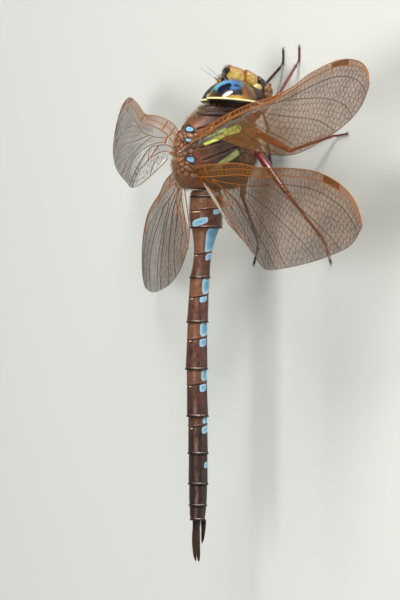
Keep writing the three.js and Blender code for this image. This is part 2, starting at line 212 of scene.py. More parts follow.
def smooth_table(rows, at):
    """A Catmull-Rom spline through rows whose first column is the position; returns the other columns."""
    rows = np.asarray(rows, dtype=float)
    at = np.clip(np.asarray(at, dtype=float), rows[0, 0], rows[-1, 0])
    i = np.clip(np.searchsorted(rows[:, 0], at, side="right") - 1, 0, len(rows) - 2)
    share = ((at - rows[i, 0]) / (rows[i + 1, 0] - rows[i, 0]))[..., None]
    before, here = rows[np.maximum(i - 1, 0), 1:], rows[i, 1:]
    there, after = rows[i + 1, 1:], rows[np.minimum(i + 2, len(rows) - 1), 1:]
    start, end = (there - before) / 2, (after - here) / 2
    square, cube = 3 * (there - here) - 2 * start - end, 2 * (here - there) + start + end
    return here + share * (start + share * (square + share * cube))


def smooth_path(points, count):
    """A Catmull-Rom curve through points, as count points at equal steps of length."""
    points = np.asarray(points, dtype=float)
    table = np.column_stack([np.arange(len(points)), points])
    fine = smooth_table(table, np.linspace(0, len(points) - 1, FINE_STEPS))
    length = np.concatenate([[0], np.cumsum(np.linalg.norm(np.diff(fine, axis=0), axis=1))])
    steps = np.linspace(0, length[-1], count)
    return np.column_stack([np.interp(steps, length, fine[:, k]) for k in range(3)])


# %% Soft steps, bumps and ovals
FAR = 9  # a distance that no mark reaches, in millimetres


def soft_step(value, low, high):
    """0 below low, 1 above high, and a smooth S between."""
    share = np.clip((value - low) / (high - low), 0, 1)
    return share * share * (3 - 2 * share)


def hill(distance, width):
    """A smooth hill one high: exp(-(distance / width)^2)."""
    return np.exp(-((distance / width) ** 2))


def oval(along, around, half_along, half_around, power=2.4):
    """Roughly the distance outside a rounded oval, in millimetres: below zero inside it."""
    reach = (np.abs(along / half_along) ** power + np.abs(around / half_around) ** power) ** (1 / power)
    return (reach - 1) * np.minimum(half_along, half_around)


def bar(first, second, start, end, half_start, half_end):
    """Distance outside a round-ended bar from start to end in a plane, half_start to half_end wide."""
    start, end = np.asarray(start, dtype=float), np.asarray(end, dtype=float)
    run = end - start
    share = np.clip(((first - start[0]) * run[0] + (second - start[1]) * run[1]) / (run @ run), 0, 1)
    apart = np.hypot(first - start[0] - share * run[0], second - start[1] - share * run[1])
    return apart - (half_start + (half_end - half_start) * share)


# %% [markdown]
# ## Finishes as sums
# A material in Blender is a graph of nodes. Wiring each Math node by hand is slow to write and hard
# to read, so a small class wraps a node's output and lets Python's own + - * / build the nodes. Any
# other node comes from one method, which takes its type, its settings and what goes into it.

# %% Colours
def linear(colour):
    """An sRGB colour from 0 to 255 as the linear one of a shader: ((v + 0.055) / 1.055) ^ 2.4."""
    values = np.array(colour) / 255
    return [float(v) for v in np.where(values <= 0.04045, values / 12.92,
                                       ((values + 0.055) / 1.055) ** 2.4)]


# %% A value in a finish
class Value:
    """The output of a node. Sums on it add Math nodes to the same finish."""

    def __init__(self, finish, socket):
        self.finish = finish
        self.socket = socket

    def maths(self, operation, *others, swapped=False):
        terms = [self, *others]
        if swapped:
            terms.reverse()
        return self.finish.node("ShaderNodeMath", {"operation": operation}, dict(enumerate(terms)))

    def __add__(self, other):
        return self.maths("ADD", other)

    def __sub__(self, other):
        return self.maths("SUBTRACT", other)

    def __rsub__(self, other):
        return self.maths("SUBTRACT", other, swapped=True)

    def __mul__(self, other):
        return self.maths("MULTIPLY", other)

    def __truediv__(self, other):
        return self.maths("DIVIDE", other)

    __radd__ = __add__
    __rmul__ = __mul__

    def step(self, low, high, start=0, end=1):
        """A smooth change from start, below low, to end, above high."""
        return self.finish.node("ShaderNodeMapRange", {"interpolation_type": "SMOOTHSTEP"},
                                {0: self, 1: low, 2: high, 3: start, 4: end})


# %% A finish
class Finish:
    """A material with one Principled shader, whose plain numbers are set on its own sockets."""

    def __init__(self, name, **settings):
        self.material = bpy.data.materials.new(name)
        self.material.use_nodes = True
        self.tree = self.material.node_tree
        self.tree.nodes.clear()
        self.shader = self.tree.nodes.new("ShaderNodeBsdfPrincipled")
        output = self.tree.nodes.new("ShaderNodeOutputMaterial")
        self.tree.links.new(self.shader.outputs[0], output.inputs["Surface"])
        self.place = self.node("ShaderNodeTexCoord", output="Object")
        self.set(**settings)

    def put(self, socket, value):
        if isinstance(value, Value):
            self.tree.links.new(value.socket, socket)
        elif socket.type == "RGBA":
            socket.default_value = (*linear(value), 1)
        else:
            socket.default_value = value

    def node(self, kind, settings=None, inputs=None, output=0):
        """Adds a node, makes its settings, fills its sockets, and returns one of its outputs."""
        made = self.tree.nodes.new(kind)
        for setting, choice in (settings or {}).items():
            if setting == "stops":
                elements = made.color_ramp.elements
                for element, (position, colour) in zip(elements, (choice[0], choice[-1])):
                    element.position, element.color = position, (*linear(colour), 1)
                for position, colour in choice[1:-1]:
                    elements.new(position).color = (*linear(colour), 1)
            else:
                setattr(made, setting, choice)
        for key, value in (inputs or {}).items():
            self.put(made.inputs[key], value)
        return Value(self, made.outputs[output])

    def set(self, **settings):
        """Base_Color=... and so on: an underscore stands for the space in a socket's name."""
        for name, value in settings.items():
            self.put(self.shader.inputs[name.replace("_", " ")], value)

    def field(self, name):
        return self.node("ShaderNodeAttribute", {"attribute_name": name}, output="Fac")

    def noise(self, size_mm, detail=3, roughness=0.5, stretch=(1, 1, 1)):
        """Cloudy noise from 0 to 1 whose blobs are about size_mm across."""
        place = self.node("ShaderNodeMapping", None, {"Vector": self.place, "Scale": stretch})
        inputs = {"Vector": place, "Scale": 1 / (size_mm * MM), "Detail": detail, "Roughness": roughness}
        return self.node("ShaderNodeTexNoise", None, inputs, "Fac")

    def pits(self, size_mm):
        """Distance to the nearest of many scattered points about size_mm apart, 0 at a point."""
        inputs = {"Vector": self.place, "Scale": 1 / (size_mm * MM)}
        return self.node("ShaderNodeTexVoronoi", {"feature": "F1"}, inputs, "Distance")

    def blend(self, share, first, second):
        """Colour first where share is 0 and second where it is 1."""
        return self.node("ShaderNodeMix", {"data_type": "RGBA"}, {0: share, 6: first, 7: second}, 2)

    def cover(self, colour, *layers):
        """Lays (share, colour) layers over a colour, one after the other."""
        for share, layer in layers:
            colour = self.blend(share, colour, layer)
        return colour

    def relief(self, height, depth_mm, strength=1):
        """Turns a height from 0 to 1 into dents and bumps depth_mm deep."""
        inputs = {"Height": height, "Distance": depth_mm * MM, "Strength": strength}
        self.set(Normal=self.node("ShaderNodeBump", None, inputs))


# %% A finished piece


def finish_with(piece, finish, slot, *nodes):
    """Gives a piece its material, sets it on the body, and hides the model's nodes behind it. The slot is
    not used.
    """
    piece.data.materials.append(finish.material)
    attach(piece, "root")
    if nodes:
        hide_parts(*nodes)
    return piece


def tube_piece(name, rings, fields, *finishing):
    """A finished piece from the rings of one closed tube."""
    return finish_with(make_piece(name, *body_of(rings, fields)), *finishing)


def joined_piece(name, bodies, *finishing):
    """A finished piece from many closed bodies."""
    return finish_with(make_piece(name, *join_bodies(bodies)), *finishing)


# %% [markdown]
# ## Floor, camera and lamps
# The live animal hung head up. The model stands on the floor, so the camera turns with it: it stays
# on the animal's right, a little above its side, and is rolled so that the head is up in the picture.
# A long lens from half a metre keeps the near wings from growing too big.

# %% Floor
FLOOR_HALF = 1500
FLOOR_GAP = 0.02


def make_floor():
    """One large square just under the feet."""
    corners = np.array([[-1, -1], [1, -1], [1, 1], [-1, 1]]) * FLOOR_HALF
    points = np.column_stack([corners, np.full(4, -AXIS_HEIGHT - FLOOR_GAP)])
    floor = make_piece("floor", points, [np.array([[0, 1, 2, 3]])], smooth=False)
    paint = Finish("floor_paint", Base_Color=(214, 216, 210), Roughness=0.85)
    floor.data.materials.append(paint.material)


make_floor()

# %% Camera
CAMERA_DISTANCE = 450
CAMERA_RISE = np.radians(26)  # above the animal's right side
VIEW_HEIGHT = 89.4  # millimetres that the long side of the picture takes in
SENSOR = 36
aim = np.array([0, 16.1, 0])
outward = np.array([-np.cos(CAMERA_RISE), 0, np.sin(CAMERA_RISE)])
picture_up = np.array([0, -1, 0])
picture_right = np.cross(picture_up, outward)

camera_data = bpy.data.cameras.new("camera")
camera_data.sensor_width = SENSOR
camera_data.lens = SENSOR * CAMERA_DISTANCE / VIEW_HEIGHT
camera_data.clip_start = 0.01
camera = bpy.data.objects.new("camera", camera_data)
bpy.context.scene.collection.objects.link(camera)
turn = Matrix([picture_right, picture_up, outward]).transposed().to_4x4()
eye_point = WAIST + (aim + outward * CAMERA_DISTANCE) * MM
camera.matrix_world = Matrix.Translation(Vector(eye_point)) @ turn
bpy.context.scene.camera = camera
print("camera lens", round(camera_data.lens, 1), "mm")


# %% Lamps
def add_lamp(name, direction, distance, size, power, colour=(1, 1, 1)):
    """A lamp of size (wide, high) that shines at the thorax from a direction (all in millimetres)."""
    lamp_data = bpy.data.lights.new(name, "AREA")
    lamp_data.shape = "ELLIPSE"
    lamp_data.size, lamp_data.size_y = size[0] * MM, size[1] * MM
    lamp_data.energy = power
    lamp_data.color = colour
    lamp = bpy.data.objects.new(name, lamp_data)
    bpy.context.scene.collection.objects.link(lamp)
    away = np.asarray(direction, dtype=float) / np.linalg.norm(direction)
    lamp.location = Vector(WAIST + away * distance * MM)
    lamp.rotation_euler = Vector(away).to_track_quat("Z", "Y").to_euler()
    return lamp


WARM = (1, 0.98, 0.94)
# The tall key lamp stands ahead of the animal on its right, so that it glints on the eye.
add_lamp("key_lamp", (-0.53, -0.76, 0.38), 600, (150, 400), 4, WARM)
top_lamp = add_lamp("top_lamp", (-0.55, 0.2, 1), 650, (330, 330), 2.6)
back_lamp = add_lamp("back_lamp", (0.8, -0.3, 0.8), 650, (330, 330), 0.9)
for soft_lamp in (top_lamp, back_lamp):
    soft_lamp.visible_glossy = False  # it lights the shell without laying a pale film over it
world = bpy.data.worlds.new("studio")
bpy.context.scene.world = world
world.use_nodes = True
background = world.node_tree.nodes["Background"]
background.inputs["Color"].default_value = (0.95, 0.98, 1, 1)
background.inputs["Strength"].default_value = 0.22
bpy.context.scene.view_settings.view_transform = "Standard"


# %% [markdown]
# ## Abdomen
# The abdomen is ten rings of shell, each a plate that wraps over the back and down the sides, with a
# raised rim where it slides over the next ring and a fine ridge across it. The plates stay separate
# pieces, as they are on the animal. Each is a tube whose section swells, narrows and ridges by
# formulas, and its blue, yellow and black marks are distances that the finish turns into colour.

# %% The rings, from waist to tail
# name: length, half height at front, middle and back, height of the middle line at front and back,
# half width as a share of half height, and where the ridge across lies (0 for none).
RINGS = {
    "abdomen_01": (0.95, 2.45, 2.55, 2.6, -1.2, -1.25, 1, 0),
    "abdomen_02": (4.55, 2.6, 2.7, 2.6, -1.25, -1.2, 0.98, 1.75),
    "abdomen_03": (7.45, 2.3, 1.5, 1.75, -1.1, -0.15, 0.92, 3.7),
    "abdomen_04": (6.6, 1.62, 1.66, 1.78, -0.12, 0.25, 0.97, 2.65),
    "abdomen_05": (7, 1.64, 1.7, 1.83, 0.25, 0.38, 1, 2.35),
    "abdomen_06": (7, 1.65, 1.68, 1.77, 0.38, 0.2, 1.02, 2.1),
    "abdomen_07": (5.55, 1.56, 1.58, 1.64, 0.2, 0.14, 1.05, 1.35),
    "abdomen_08": (4.55, 1.52, 1.54, 1.58, 0.14, 0.14, 1.08, 0),
    "abdomen_09": (3.2, 1.46, 1.45, 1.4, 0.14, 0.2, 1.08, 0),
    "abdomen_10": (2.1, 1.34, 1.28, 1.12, 0.2, 0.3, 1.08, 0),
}
# Blue marks on each side: place along the ring, degrees round from the back's middle, and half sizes.
BLUE_MARKS = {
    "abdomen_01": [(0.45, 96, 0.28, 15)],
    "abdomen_02": [(3.55, 37, 0.52, 30), (1.95, 100, 0.42, 17)],
    "abdomen_03": [(0.8, 99, 1.2, 32), (2, 100, 1.7, 32), (4.15, 102, 0.5, 24)],
    "abdomen_04": [(0.95, 101, 1.3, 27), (2.95, 87, 0.5, 22)],
    "abdomen_05": [(0.8, 99, 1.1, 27), (2.8, 92, 0.66, 21)],
    "abdomen_06": [(0.65, 103, 0.9, 21), (2.5, 92, 0.64, 21)],
    "abdomen_07": [(0.4, 104, 0.45, 20), (1.8, 100, 0.55, 21)],
    "abdomen_08": [(1.5, 107, 0.45, 16)],
}
VENTER_SHARE = 0.86  # the underside's half height as a share of the back's
TUCK = 0.24  # how far a ring reaches in under the one before it
TAIL_END = 49  # millimetres from the waist to the end of the last ring


# %% One ring of shell
def ring_shape(name, start, rows=72, columns=120):
    """Ellipses along the ring, plus hills for the ridges and rims, and the fields of its marks.

    Half height is a parabola through front, middle and back. Going round, turn is 0 on the back and
    half a circle underneath. Ridges push the shell outwards by the height of a narrow hill.
    """
    length, front, middle, back, low, high, width_share, ridge = RINGS[name]
    along = np.linspace(-TUCK, length - 0.06, rows)[:, None]
    share = np.clip(along / length, 0, 1)
    turn = turns(columns)[None, :]
    half = front * (1 - share) * (1 - 2 * share) + middle * 4 * share * (1 - share)
    half = half + back * share * (2 * share - 1)
    side = np.abs(wrapped(turn))  # 0 on the back, pi underneath
    forward = 0.32 * (1 - np.cos(np.minimum(side, 2)))  # ridges lean forwards down the sides
    seen = along + forward * (ridge > 0)

    swell = -0.2 * soft_step(-along, -0.12, 0.2)  # the tucked lip is narrower
    swell = swell + 0.09 * soft_step(along, length - 0.5, length - 0.2)  # rim at the back
    swell = swell - 0.06 * hill(along - (length - 0.45), 0.08)  # furrow before the rim
    swell = swell + 0.035 * hill(side, 0.05)  # keel along the back
    swell = swell + 0.06 * hill(side - 2.05, 0.06) - 0.16 * soft_step(side, 2.1, 2.35)  # edge, then belly
    swell = swell + 0.05 * hill(side - np.pi, 0.3)
    if ridge:
        swell = swell + 0.07 * hill(seen - ridge, 0.09) - 0.03 * hill(seen - ridge - 0.25, 0.15)
    reach = half + swell
    rise = np.where(np.cos(turn) < 0, VENTER_SHARE, 1) * np.cos(turn)
    across = np.sign(np.sin(turn)) * np.abs(np.sin(turn)) ** 0.96
    x, z = reach * width_share * across, low + (high - low) * share + reach * rise
    rings = grid_of(x, start + along, z)

    none = np.full(seen.shape, FAR)
    blue = none
    for place, degrees, half_along, half_degrees in BLUE_MARKS.get(name, []):
        around = (side - np.radians(degrees)) * half
        half_around = np.radians(half_degrees) * half
        blue = np.minimum(blue, oval(along - place + 0.25 * around, around, half_along, half_around, 3))
    line, dots, hind = none, none, 0.6
    if ridge:
        line = np.abs(seen - ridge - 0.16)
        blue = np.maximum(blue, 0.14 - line)  # the black line cuts the blue in two
        line = line + 0.3 * soft_step(side, 1.9, 2.1)
        dot_width = 0.8 if name == "abdomen_02" else 0.2
        dots = oval(seen - ridge - 0.3, (side - 0.25) * half - dot_width * 0.5, 0.1, dot_width)
        hind = soft_step(seen, ridge - 0.1, ridge + 0.5)
    # The edge field places pale dashes just before each ring's rim: painted highlights where the rim's
    # front slope catches light.
    off_middle = 0.3 * soft_step(side, 1.7, 1.9) + 0.3 * (1 - soft_step(side, 0.2, 0.5))
    fields = {"blue": blue, "line": line, "dots": dots, "joint": np.abs(along - (length - 0.2)),
              "belly": side - 2.05, "back": side, "tailward": (start + along) / TAIL_END, "hind": hind,
              "edge": np.abs(along - (length - 0.36)) + off_middle}
    return rings, fields


# %% Shell finish
def shell_finish():
    """Glossy brown shell, warmer before the ridge and redder and darker behind it, with fine pits.

    Each mark is a distance in millimetres that is stepped to a share, after a little noise is added.
    """
    made = Finish("abdomen_shell", Specular_IOR_Level=0.4, Coat_Weight=0.5, Coat_Roughness=0.2)
    cloud = made.noise(1, 4, 0.6)
    fine = made.noise(0.14, 4, 0.7)
    streak = made.noise(0.5, 3, 0.6, (1, 0.3, 1))
    front = made.blend(cloud.step(0.35, 0.7), (118, 76, 50), (98, 60, 42))
    behind = made.blend(cloud.step(0.35, 0.7), (98, 56, 43), (66, 37, 31))
    behind = made.blend(streak.step(0.48, 0.64) * 0.8, behind, (50, 26, 22))
    # Painted highlight: a pale speckled streak along each side of the back, where the shell would catch
    # light.
    back = made.field("back")
    painted_sheen = back.step(0.5, 0.75) * back.step(0.85, 1.15, 1, 0)
    painted_sheen = painted_sheen * (streak * 0.6 + fine * 0.4).step(0.42, 0.62)
    flank = back.step(1.95, 2.06) * (fine - 0.5).step(-0.1, 0.1)
    brown = made.cover(
        made.blend(made.field("hind") + (fine - 0.5) * 0.3, front, behind),
        (fine.step(0.55, 0.72) * 0.5, (164, 116, 86)),
        (made.pits(0.3).step(0.08, 0.3, 0.3, 0), (60, 32, 24)),
        (made.field("tailward").step(0.4, 0.9) * 0.88, (26, 16, 14)),
        (back.step(0.02, 0.12, 0.5, 0), (48, 26, 20)),
        (painted_sheen * 0.4, (158, 132, 118)),
        (back.step(1.75, 2.02) * 0.75, (34, 20, 17)),
        (flank * 0.6, (176, 160, 146)),
        # pale dashes before the rim: painted highlight
        ((made.field("edge") + (fine - 0.4) * 0.4).step(0, 0.12, 0.7, 0), (206, 188, 160)))
    wobble = (fine - 0.5) * 0.16
    depth = made.field("blue") + wobble
    blue = made.cover(
        made.blend(depth.step(-0.6, -0.2), (92, 146, 180), (124, 176, 202)),
        (depth.step(-0.26, -0.04) * 0.7, (172, 200, 212)),
        (cloud.step(0.5, 0.75) * 0.35, (108, 142, 168)))
    colour = made.cover(
        made.blend(depth.step(-0.06, 0.04, 1, 0), brown, blue),
        ((made.field("dots") + wobble * 0.5).step(-0.03, 0.03, 1, 0), (220, 198, 132)),
        ((made.field("line") + wobble * 0.4).step(0.06, 0.11, 1, 0), (18, 11, 9)),
        ((made.field("joint") - 0.08 + wobble).step(0, 0.08, 1, 0), (20, 12, 10)),
        (made.field("belly").step(0.1, 0.3), (92, 60, 44)))
    made.set(Base_Color=colour, Roughness=fine.step(0.2, 0.8, 0.22, 0.45))
    made.relief(made.pits(0.13) * 0.6 + fine * 0.8 + cloud * 0.3, 0.035, 0.9)
    return made


# %% Make the ten rings
shell = shell_finish()
tail = 0
for ring_name, (ring_length, *_) in RINGS.items():
    tube_piece(f"shell_{ring_name}", *ring_shape(ring_name, tail), shell, "chitin", ring_name)
    tail += ring_length
print("abdomen is", round(tail, 2), "mm long")

# %% [markdown]
# ### Claspers
# At the tail a male has two long flat claspers above and a shorter one below. Each is a flattened
# tube that widens towards its end and comes to a blunt point, with a keel along its outer side.

# %% Claspers
UPPER_LENGTH = 6.1
LOWER_LENGTH = 3.4
CLASPER_TUCK = 0.15  # how far a clasper reaches into the last ring
CLASPER_HEIGHT = 0.55  # above or below the abdomen's axis
# share of length, half width, half height, outwards, upwards
UPPER_CLASPER = [(0, 0.25, 0.27, 0.62, 0), (0.06, 0.3, 0.3, 0.64, 0.02),
                 (0.15, 0.27, 0.26, 0.66, 0.05), (0.35, 0.42, 0.28, 0.66, 0.1),
                 (0.6, 0.52, 0.26, 0.67, 0.1), (0.85, 0.42, 0.2, 0.64, 0),
                 (0.96, 0.22, 0.12, 0.56, -0.06), (1, 0.04, 0.04, 0.5, -0.1)]
LOWER_CLASPER = [(0, 0.8, 0.28, 0, 0), (0.4, 0.6, 0.26, 0, 0), (0.8, 0.36, 0.2, 0, 0.1),
                 (1, 0.08, 0.08, 0, 0.2)]


def clasper_rings(table, length, side, height):
    """Ovals along the body, their size and middle read off the table, with a keel on the upper side."""
    share = np.linspace(0, 1, 60) ** 0.9
    wide, high, out, up = smooth_table(table, share).T
    angle = turns(28)
    keel = 1 + 0.35 * hill(wrapped(angle - 1.9), 0.35)
    x = side * out[:, None] + wide[:, None] * np.cos(angle) * side
    z = height + up[:, None] + high[:, None] * np.sin(angle) * keel
    y = tail - CLASPER_TUCK + (length + CLASPER_TUCK) * share[:, None]
    return grid_of(x, y, z), {"share": share[:, None]}


def clasper_finish():
    made = Finish("clasper_shell", Specular_IOR_Level=0.55, Coat_Weight=0.3, Coat_Roughness=0.15)
    fine = made.noise(0.2, 4, 0.6)
    dark = made.blend(fine.step(0.35, 0.7), (22, 13, 11), (44, 27, 19))
    share = made.field("share")
    amber = share.step(0.1, 0.35) * share.step(0.75, 0.95, 1, 0) * fine * 0.21
    colour = made.blend(amber, dark, (130, 80, 38))
    made.set(Base_Color=colour, Roughness=fine.step(0.2, 0.8, 0.24, 0.45))
    made.relief(fine, 0.02, 0.7)
    return made


clasper_shell = clasper_finish()
CLASPERS = {
    "left": (UPPER_CLASPER, UPPER_LENGTH, 1, CLASPER_HEIGHT),
    "right": (UPPER_CLASPER, UPPER_LENGTH, -1, CLASPER_HEIGHT),
    "lower": (LOWER_CLASPER, LOWER_LENGTH, 1, -CLASPER_HEIGHT),
}
for place, sizes in CLASPERS.items():
    tube_piece(f"clasper_blade_{place}", *clasper_rings(*sizes), clasper_shell, "chitin",
               f"clasper_{place}")
print("claspers reach", round(tail + UPPER_LENGTH, 2), "mm behind the waist")


# %% [markdown]
# ## Thorax
# The thorax is a stiff box of shell that holds the flight muscles. Its plates are fused, with grooves
# where they meet, so it is one piece here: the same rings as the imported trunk, drawn in by the depth
# of the hair, then pushed in along the grooves and out at the humps and small plates between the
# wings. Two slanting yellow bars run down each side, and blue spots sit beside the wing roots.

# %% The trunk's rings
# y, top, bottom, half width
TRUNK = [(-11.75, 0.3, -7.4, 2.5), (-11.1, 1.6, -8.3, 3.2), (-9.9, 2.8, -8.9, 3.7), (-8, 3.7, -9.2, 4),
         (-5.5, 4.2, -9, 4.05), (-3, 4.1, -7.9, 3.8), (-1.2, 3.3, -6.3, 3.3), (-0.3, 2.4, -5, 2.8)]
TRUNK_FULLNESS = 0.75
TRUNK_KEEL = 0.3
HAIR_DEPTH = 0.3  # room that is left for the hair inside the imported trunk
# Grooves down the side as (y, z) of their two ends.
GROOVES = [((-9, 2.6), (-10.9, -4.9)), ((-6.4, 1.5), (-8.4, -6)), ((-4.6, 0.9), (-6.9, -5.6)),
           ((-10.6, -5.2), (-3.2, -5.9))]
# Humps and hollows on the back as (out, y, radius, height).
HUMPS = [(0.95, -8.2, 0.55, 0.42), (0, -6.7, 0.6, 0.4), (0, -5.5, 0.5, -0.4), (0.8, -4.3, 0.5, 0.38),
         (0, -3, 0.5, 0.35), (0, -1.7, 0.45, -0.25), (2, -7.5, 0.35, 0.25),
         (2, -3.6, 0.35, 0.22), (0, -9.4, 0.45, -0.2), (1.8, -5.8, 0.5, -0.3)]
# The bright bar as one broad and two narrow strokes: (y, z) of two ends and the half widths there.
BRIGHT_BAR = [((-8.8, -2.95), (-9.45, -5), 0.55, 0.66), ((-9.2, -2.7), (-7.95, 0.9), 0.28, 0.3),
              ((-8.3, -2.3), (-7, 0.6), 0.3, 0.34)]
# Blue spots beside the wing roots as (out, y, z, half out, half along).
BLUE_SPOTS = [(1.75, -9.2, 2.7, 0.5, 0.24), (1.9, -7.5, 2.6, 0.2, 0.14), (2.2, -4.75, 2.5, 0.4, 0.27)]


def trunk_rings(y, turn):
    """Rings of the trunk: turn is 0 on the back. Depth runs from 0 at the top to 1 at the belly, the
    width is a power of the sine of the turn, narrowed towards the belly, and all is drawn in."""
    top, bottom, wide = smooth_table(TRUNK, y).T[..., None]
    depth = (1 - np.cos(turn)) / 2
    reach = np.sign(np.sin(turn)) * np.abs(np.sin(turn)) ** TRUNK_FULLNESS * (1 - TRUNK_KEEL * depth)
    x = reach * (wide - HAIR_DEPTH)
    z = top - HAIR_DEPTH + (bottom - top + 2 * HAIR_DEPTH) * depth
    return grid_of(x, y[:, None], z)


def outward_normals(rings):
    """Unit vectors square to a closed grid: the cross product of its two directions, turned outwards."""
    around = np.roll(rings, -1, axis=1) - np.roll(rings, 1, axis=1)
    normal = np.cross(np.gradient(rings, axis=0), around)
    normal /= np.maximum(np.linalg.norm(normal, axis=-1, keepdims=True), 1e-9)
    away = rings - rings.mean(axis=1, keepdims=True)
    return normal * np.sign((normal * away).sum())


# %% Hips, knees, ankles and toes, used by the trunk's sockets and by the legs
FORE_LEG = ((1.5, -11.2, -8.3), (4.3, -14.4, -10.9), (2.6, -19.3, -14.9), (2.6, -22.1))
MID_LEG = ((1.7, -9, -8.6), (8.1, -6, -10.9), (13.9, -8, -14.9), (17.8, -8.2))
FOLDED_LEG = ((1.7, -9, -8.6), (4.2, -4.4, -14), (7.2, -9.6, -14.9), (9.3, -12.7))
HIND_LEG = ((1.8, -6.3, -8.5), (7.4, 0.3, -10.8), (10.4, 6.8, -14.9), (12.6, 10.8))
LEGS = {
    # girth is half the thigh's thickness
    "fore": {"right": FORE_LEG, "left": FORE_LEG, "girth": 0.5},
    "mid": {"right": MID_LEG, "left": FOLDED_LEG, "girth": 0.58},
    "hind": {"right": HIND_LEG, "left": HIND_LEG, "girth": 0.62},
}

# %% Grooves, humps and marks
def small_plates(out, y):
    """Low domes in bent rows like bricks: (|sin(pi u)| |sin(pi v)|)^0.6, 1 on top and 0 between."""
    row = (y + 0.3 * np.sin(2.1 * out + 0.8 * y)) / 0.9
    place = (out + 0.22 * np.sin(2.7 * y)) / 0.8 + 0.5 * (np.floor(row) % 2)
    return np.abs(np.sin(np.pi * row) * np.sin(np.pi * place)) ** 0.6


def thorax_shape(rows=200, columns=240):
    """The trunk's rings, rounded shut at both ends, moved along their normals by hills and grooves."""
    middle, reach = (TRUNK[0][0] + TRUNK[-1][0]) / 2, (TRUNK[-1][0] - TRUNK[0][0]) / 2 - 0.03
    y = middle - reach * np.cos(np.linspace(0.06, np.pi - 0.06, rows))
    rings = trunk_rings(y, turns(columns)[None, :])
    rounding = np.where(y < middle, 0.6, 0.35)
    from_end = np.clip((reach - np.abs(y - middle)) / rounding, 0, 1)[:, None, None]
    centre = (rings.max(axis=1, keepdims=True) + rings.min(axis=1, keepdims=True)) / 2
    rings = centre + (rings - centre) * np.sqrt(1 - (1 - from_end) ** 2)
    normal = outward_normals(rings)

    out, y, z = np.abs(rings[..., 0]), rings[..., 1], rings[..., 2]
    side = soft_step(out, 1.6, 2.4)
    back = soft_step(z, 1, 2)
    groove = np.full(out.shape, FAR)
    for upper, lower in GROOVES:
        groove = np.minimum(groove, bar(y, z, upper, lower, 0, 0))
    groove = groove + 3 * (1 - side)
    push = -0.2 * hill(groove, 0.1) + 0.06 * hill(groove - 0.3, 0.15)
    for hump_out, hump_y, radius, height in HUMPS:
        push = push + height * hill(np.hypot(out - hump_out, y - hump_y), radius) * back
    push = push + 0.16 * hill(out, 0.12) * hill(y + 10.6, 1.1) * soft_step(z, -1, 1)  # ridge in front
    push = push + 0.22 * hill(bar(y, out, (-9, 0.2), (-8.7, 2.9), 0, 0), 0.16) * back
    push = push - 0.25 * hill(out, 0.3) * soft_step(-z, 6, 7.5)  # groove of the breast
    between = back * soft_step(y, -8.9, -8.5) * soft_step(-y, 1.7, 2.3) * (1 - soft_step(out, 2.5, 2.9))
    lump = small_plates(out, y)
    push = push + 0.2 * (lump - 0.5) * between
    for pair in ("fore", "mid", "hind"):
        hip = LEGS[pair]["right"][0]
        push = push - 0.3 * hill(np.hypot(out - hip[0], y - hip[1]), 0.8) * soft_step(-z, 5.5, 7)
    rings = rings + normal * push[..., None]

    blue = np.full(out.shape, FAR)
    for spot_out, spot_y, spot_z, half_out, half_along in BLUE_SPOTS:
        slanted = out - spot_out + (z - spot_z) * -0.2
        spot = oval(y - spot_y - 0.3 * slanted, slanted, half_along, half_out)
        blue = np.minimum(blue, spot + 0.4 * np.abs(z - spot_z) - 0.2)
    bright = np.full(out.shape, FAR)
    for start, end, half_start, half_end in BRIGHT_BAR:
        bright = np.minimum(bright, bar(y, z, start, end, half_start, half_end))
    fields = {
        "groove": groove, "blue": blue,
        "bright_bar": bright + 3 * (1 - side),
        "dull_bar": bar(y, z, (-3.3, -0.7), (-5.8, -4.7), 0.4, 0.5) + 3 * (1 - side),
        "low": -z, "plates": between * lump, "furrows": between * (1 - lump),
    }
    return rings, fields


# %% Thorax finish
def thorax_finish():
    """Duller brown shell with darker clouds, dark grooves, two yellow bars and blue spots."""
    made = Finish("thorax_shell", Specular_IOR_Level=0.5, Coat_Weight=0.15, Coat_Roughness=0.25)
    cloud = made.noise(1.3, 4, 0.6)
    fine = made.noise(0.2, 5, 0.7)
    wobble = (fine - 0.5) * 0.5 + (made.noise(0.6, 3, 0.6) - 0.5) * 0.5
    colour = made.cover(
        made.blend(cloud.step(0.35, 0.68), (118, 70, 44), (78, 42, 28)),
        (fine.step(0.5, 0.75) * 0.5, (156, 112, 78)),
        (made.pits(0.5).step(0.12, 0.3, 0.5, 0), (58, 34, 24)),
        (made.field("low").step(-1.5, 2) * 0.85, (32, 18, 14)),
        ((made.field("plates") + (cloud - 0.5) * 0.8).step(0.35, 0.75) * 0.7, (178, 124, 88)),
        (made.field("furrows").step(0.45, 0.9) * 0.75, (50, 26, 20)),
        ((made.field("groove") + wobble * 0.5).step(0.04, 0.2, 0.8, 0), (38, 20, 14)))
    yellow = made.blend(cloud.step(0.3, 0.75), (200, 212, 96), (170, 190, 80))
    dull = made.blend(cloud.step(0.3, 0.75), (150, 158, 96), (112, 112, 66))
    for mark, inside, edge in (("bright_bar", yellow, 0.2), ("dull_bar", dull, 0.3)):
        distance = made.field(mark) + wobble * edge * 2
        colour = made.cover(colour, (distance.step(-0.02, edge, 0.75, 0), (52, 32, 20)),
                            (distance.step(-0.12, 0.02, 1, 0), inside))
    blue = made.field("blue") + wobble * 0.2
    spot = made.blend(blue.step(-0.34, -0.08), (70, 136, 186), (132, 184, 212))
    colour = made.cover(colour, ((blue + wobble * 0.8).step(0.1, 0.42, 0.95, 0), (22, 15, 14)),
                        (blue.step(-0.06, 0.04, 1, 0), spot))
    made.set(Base_Color=colour, Roughness=fine.step(0.2, 0.8, 0.34, 0.6))
    made.relief(fine + made.pits(0.18) * 0.6 + cloud * 0.5, 0.035, 0.8)
    return made


# %% Make the thorax
thorax_shell = thorax_finish()
thorax_rings, thorax_fields = thorax_shape()
tube_piece("shell_thorax", thorax_rings, thorax_fields, thorax_shell, "thorax", "thorax")
print("thorax rows and columns", thorax_rings.shape[:2])

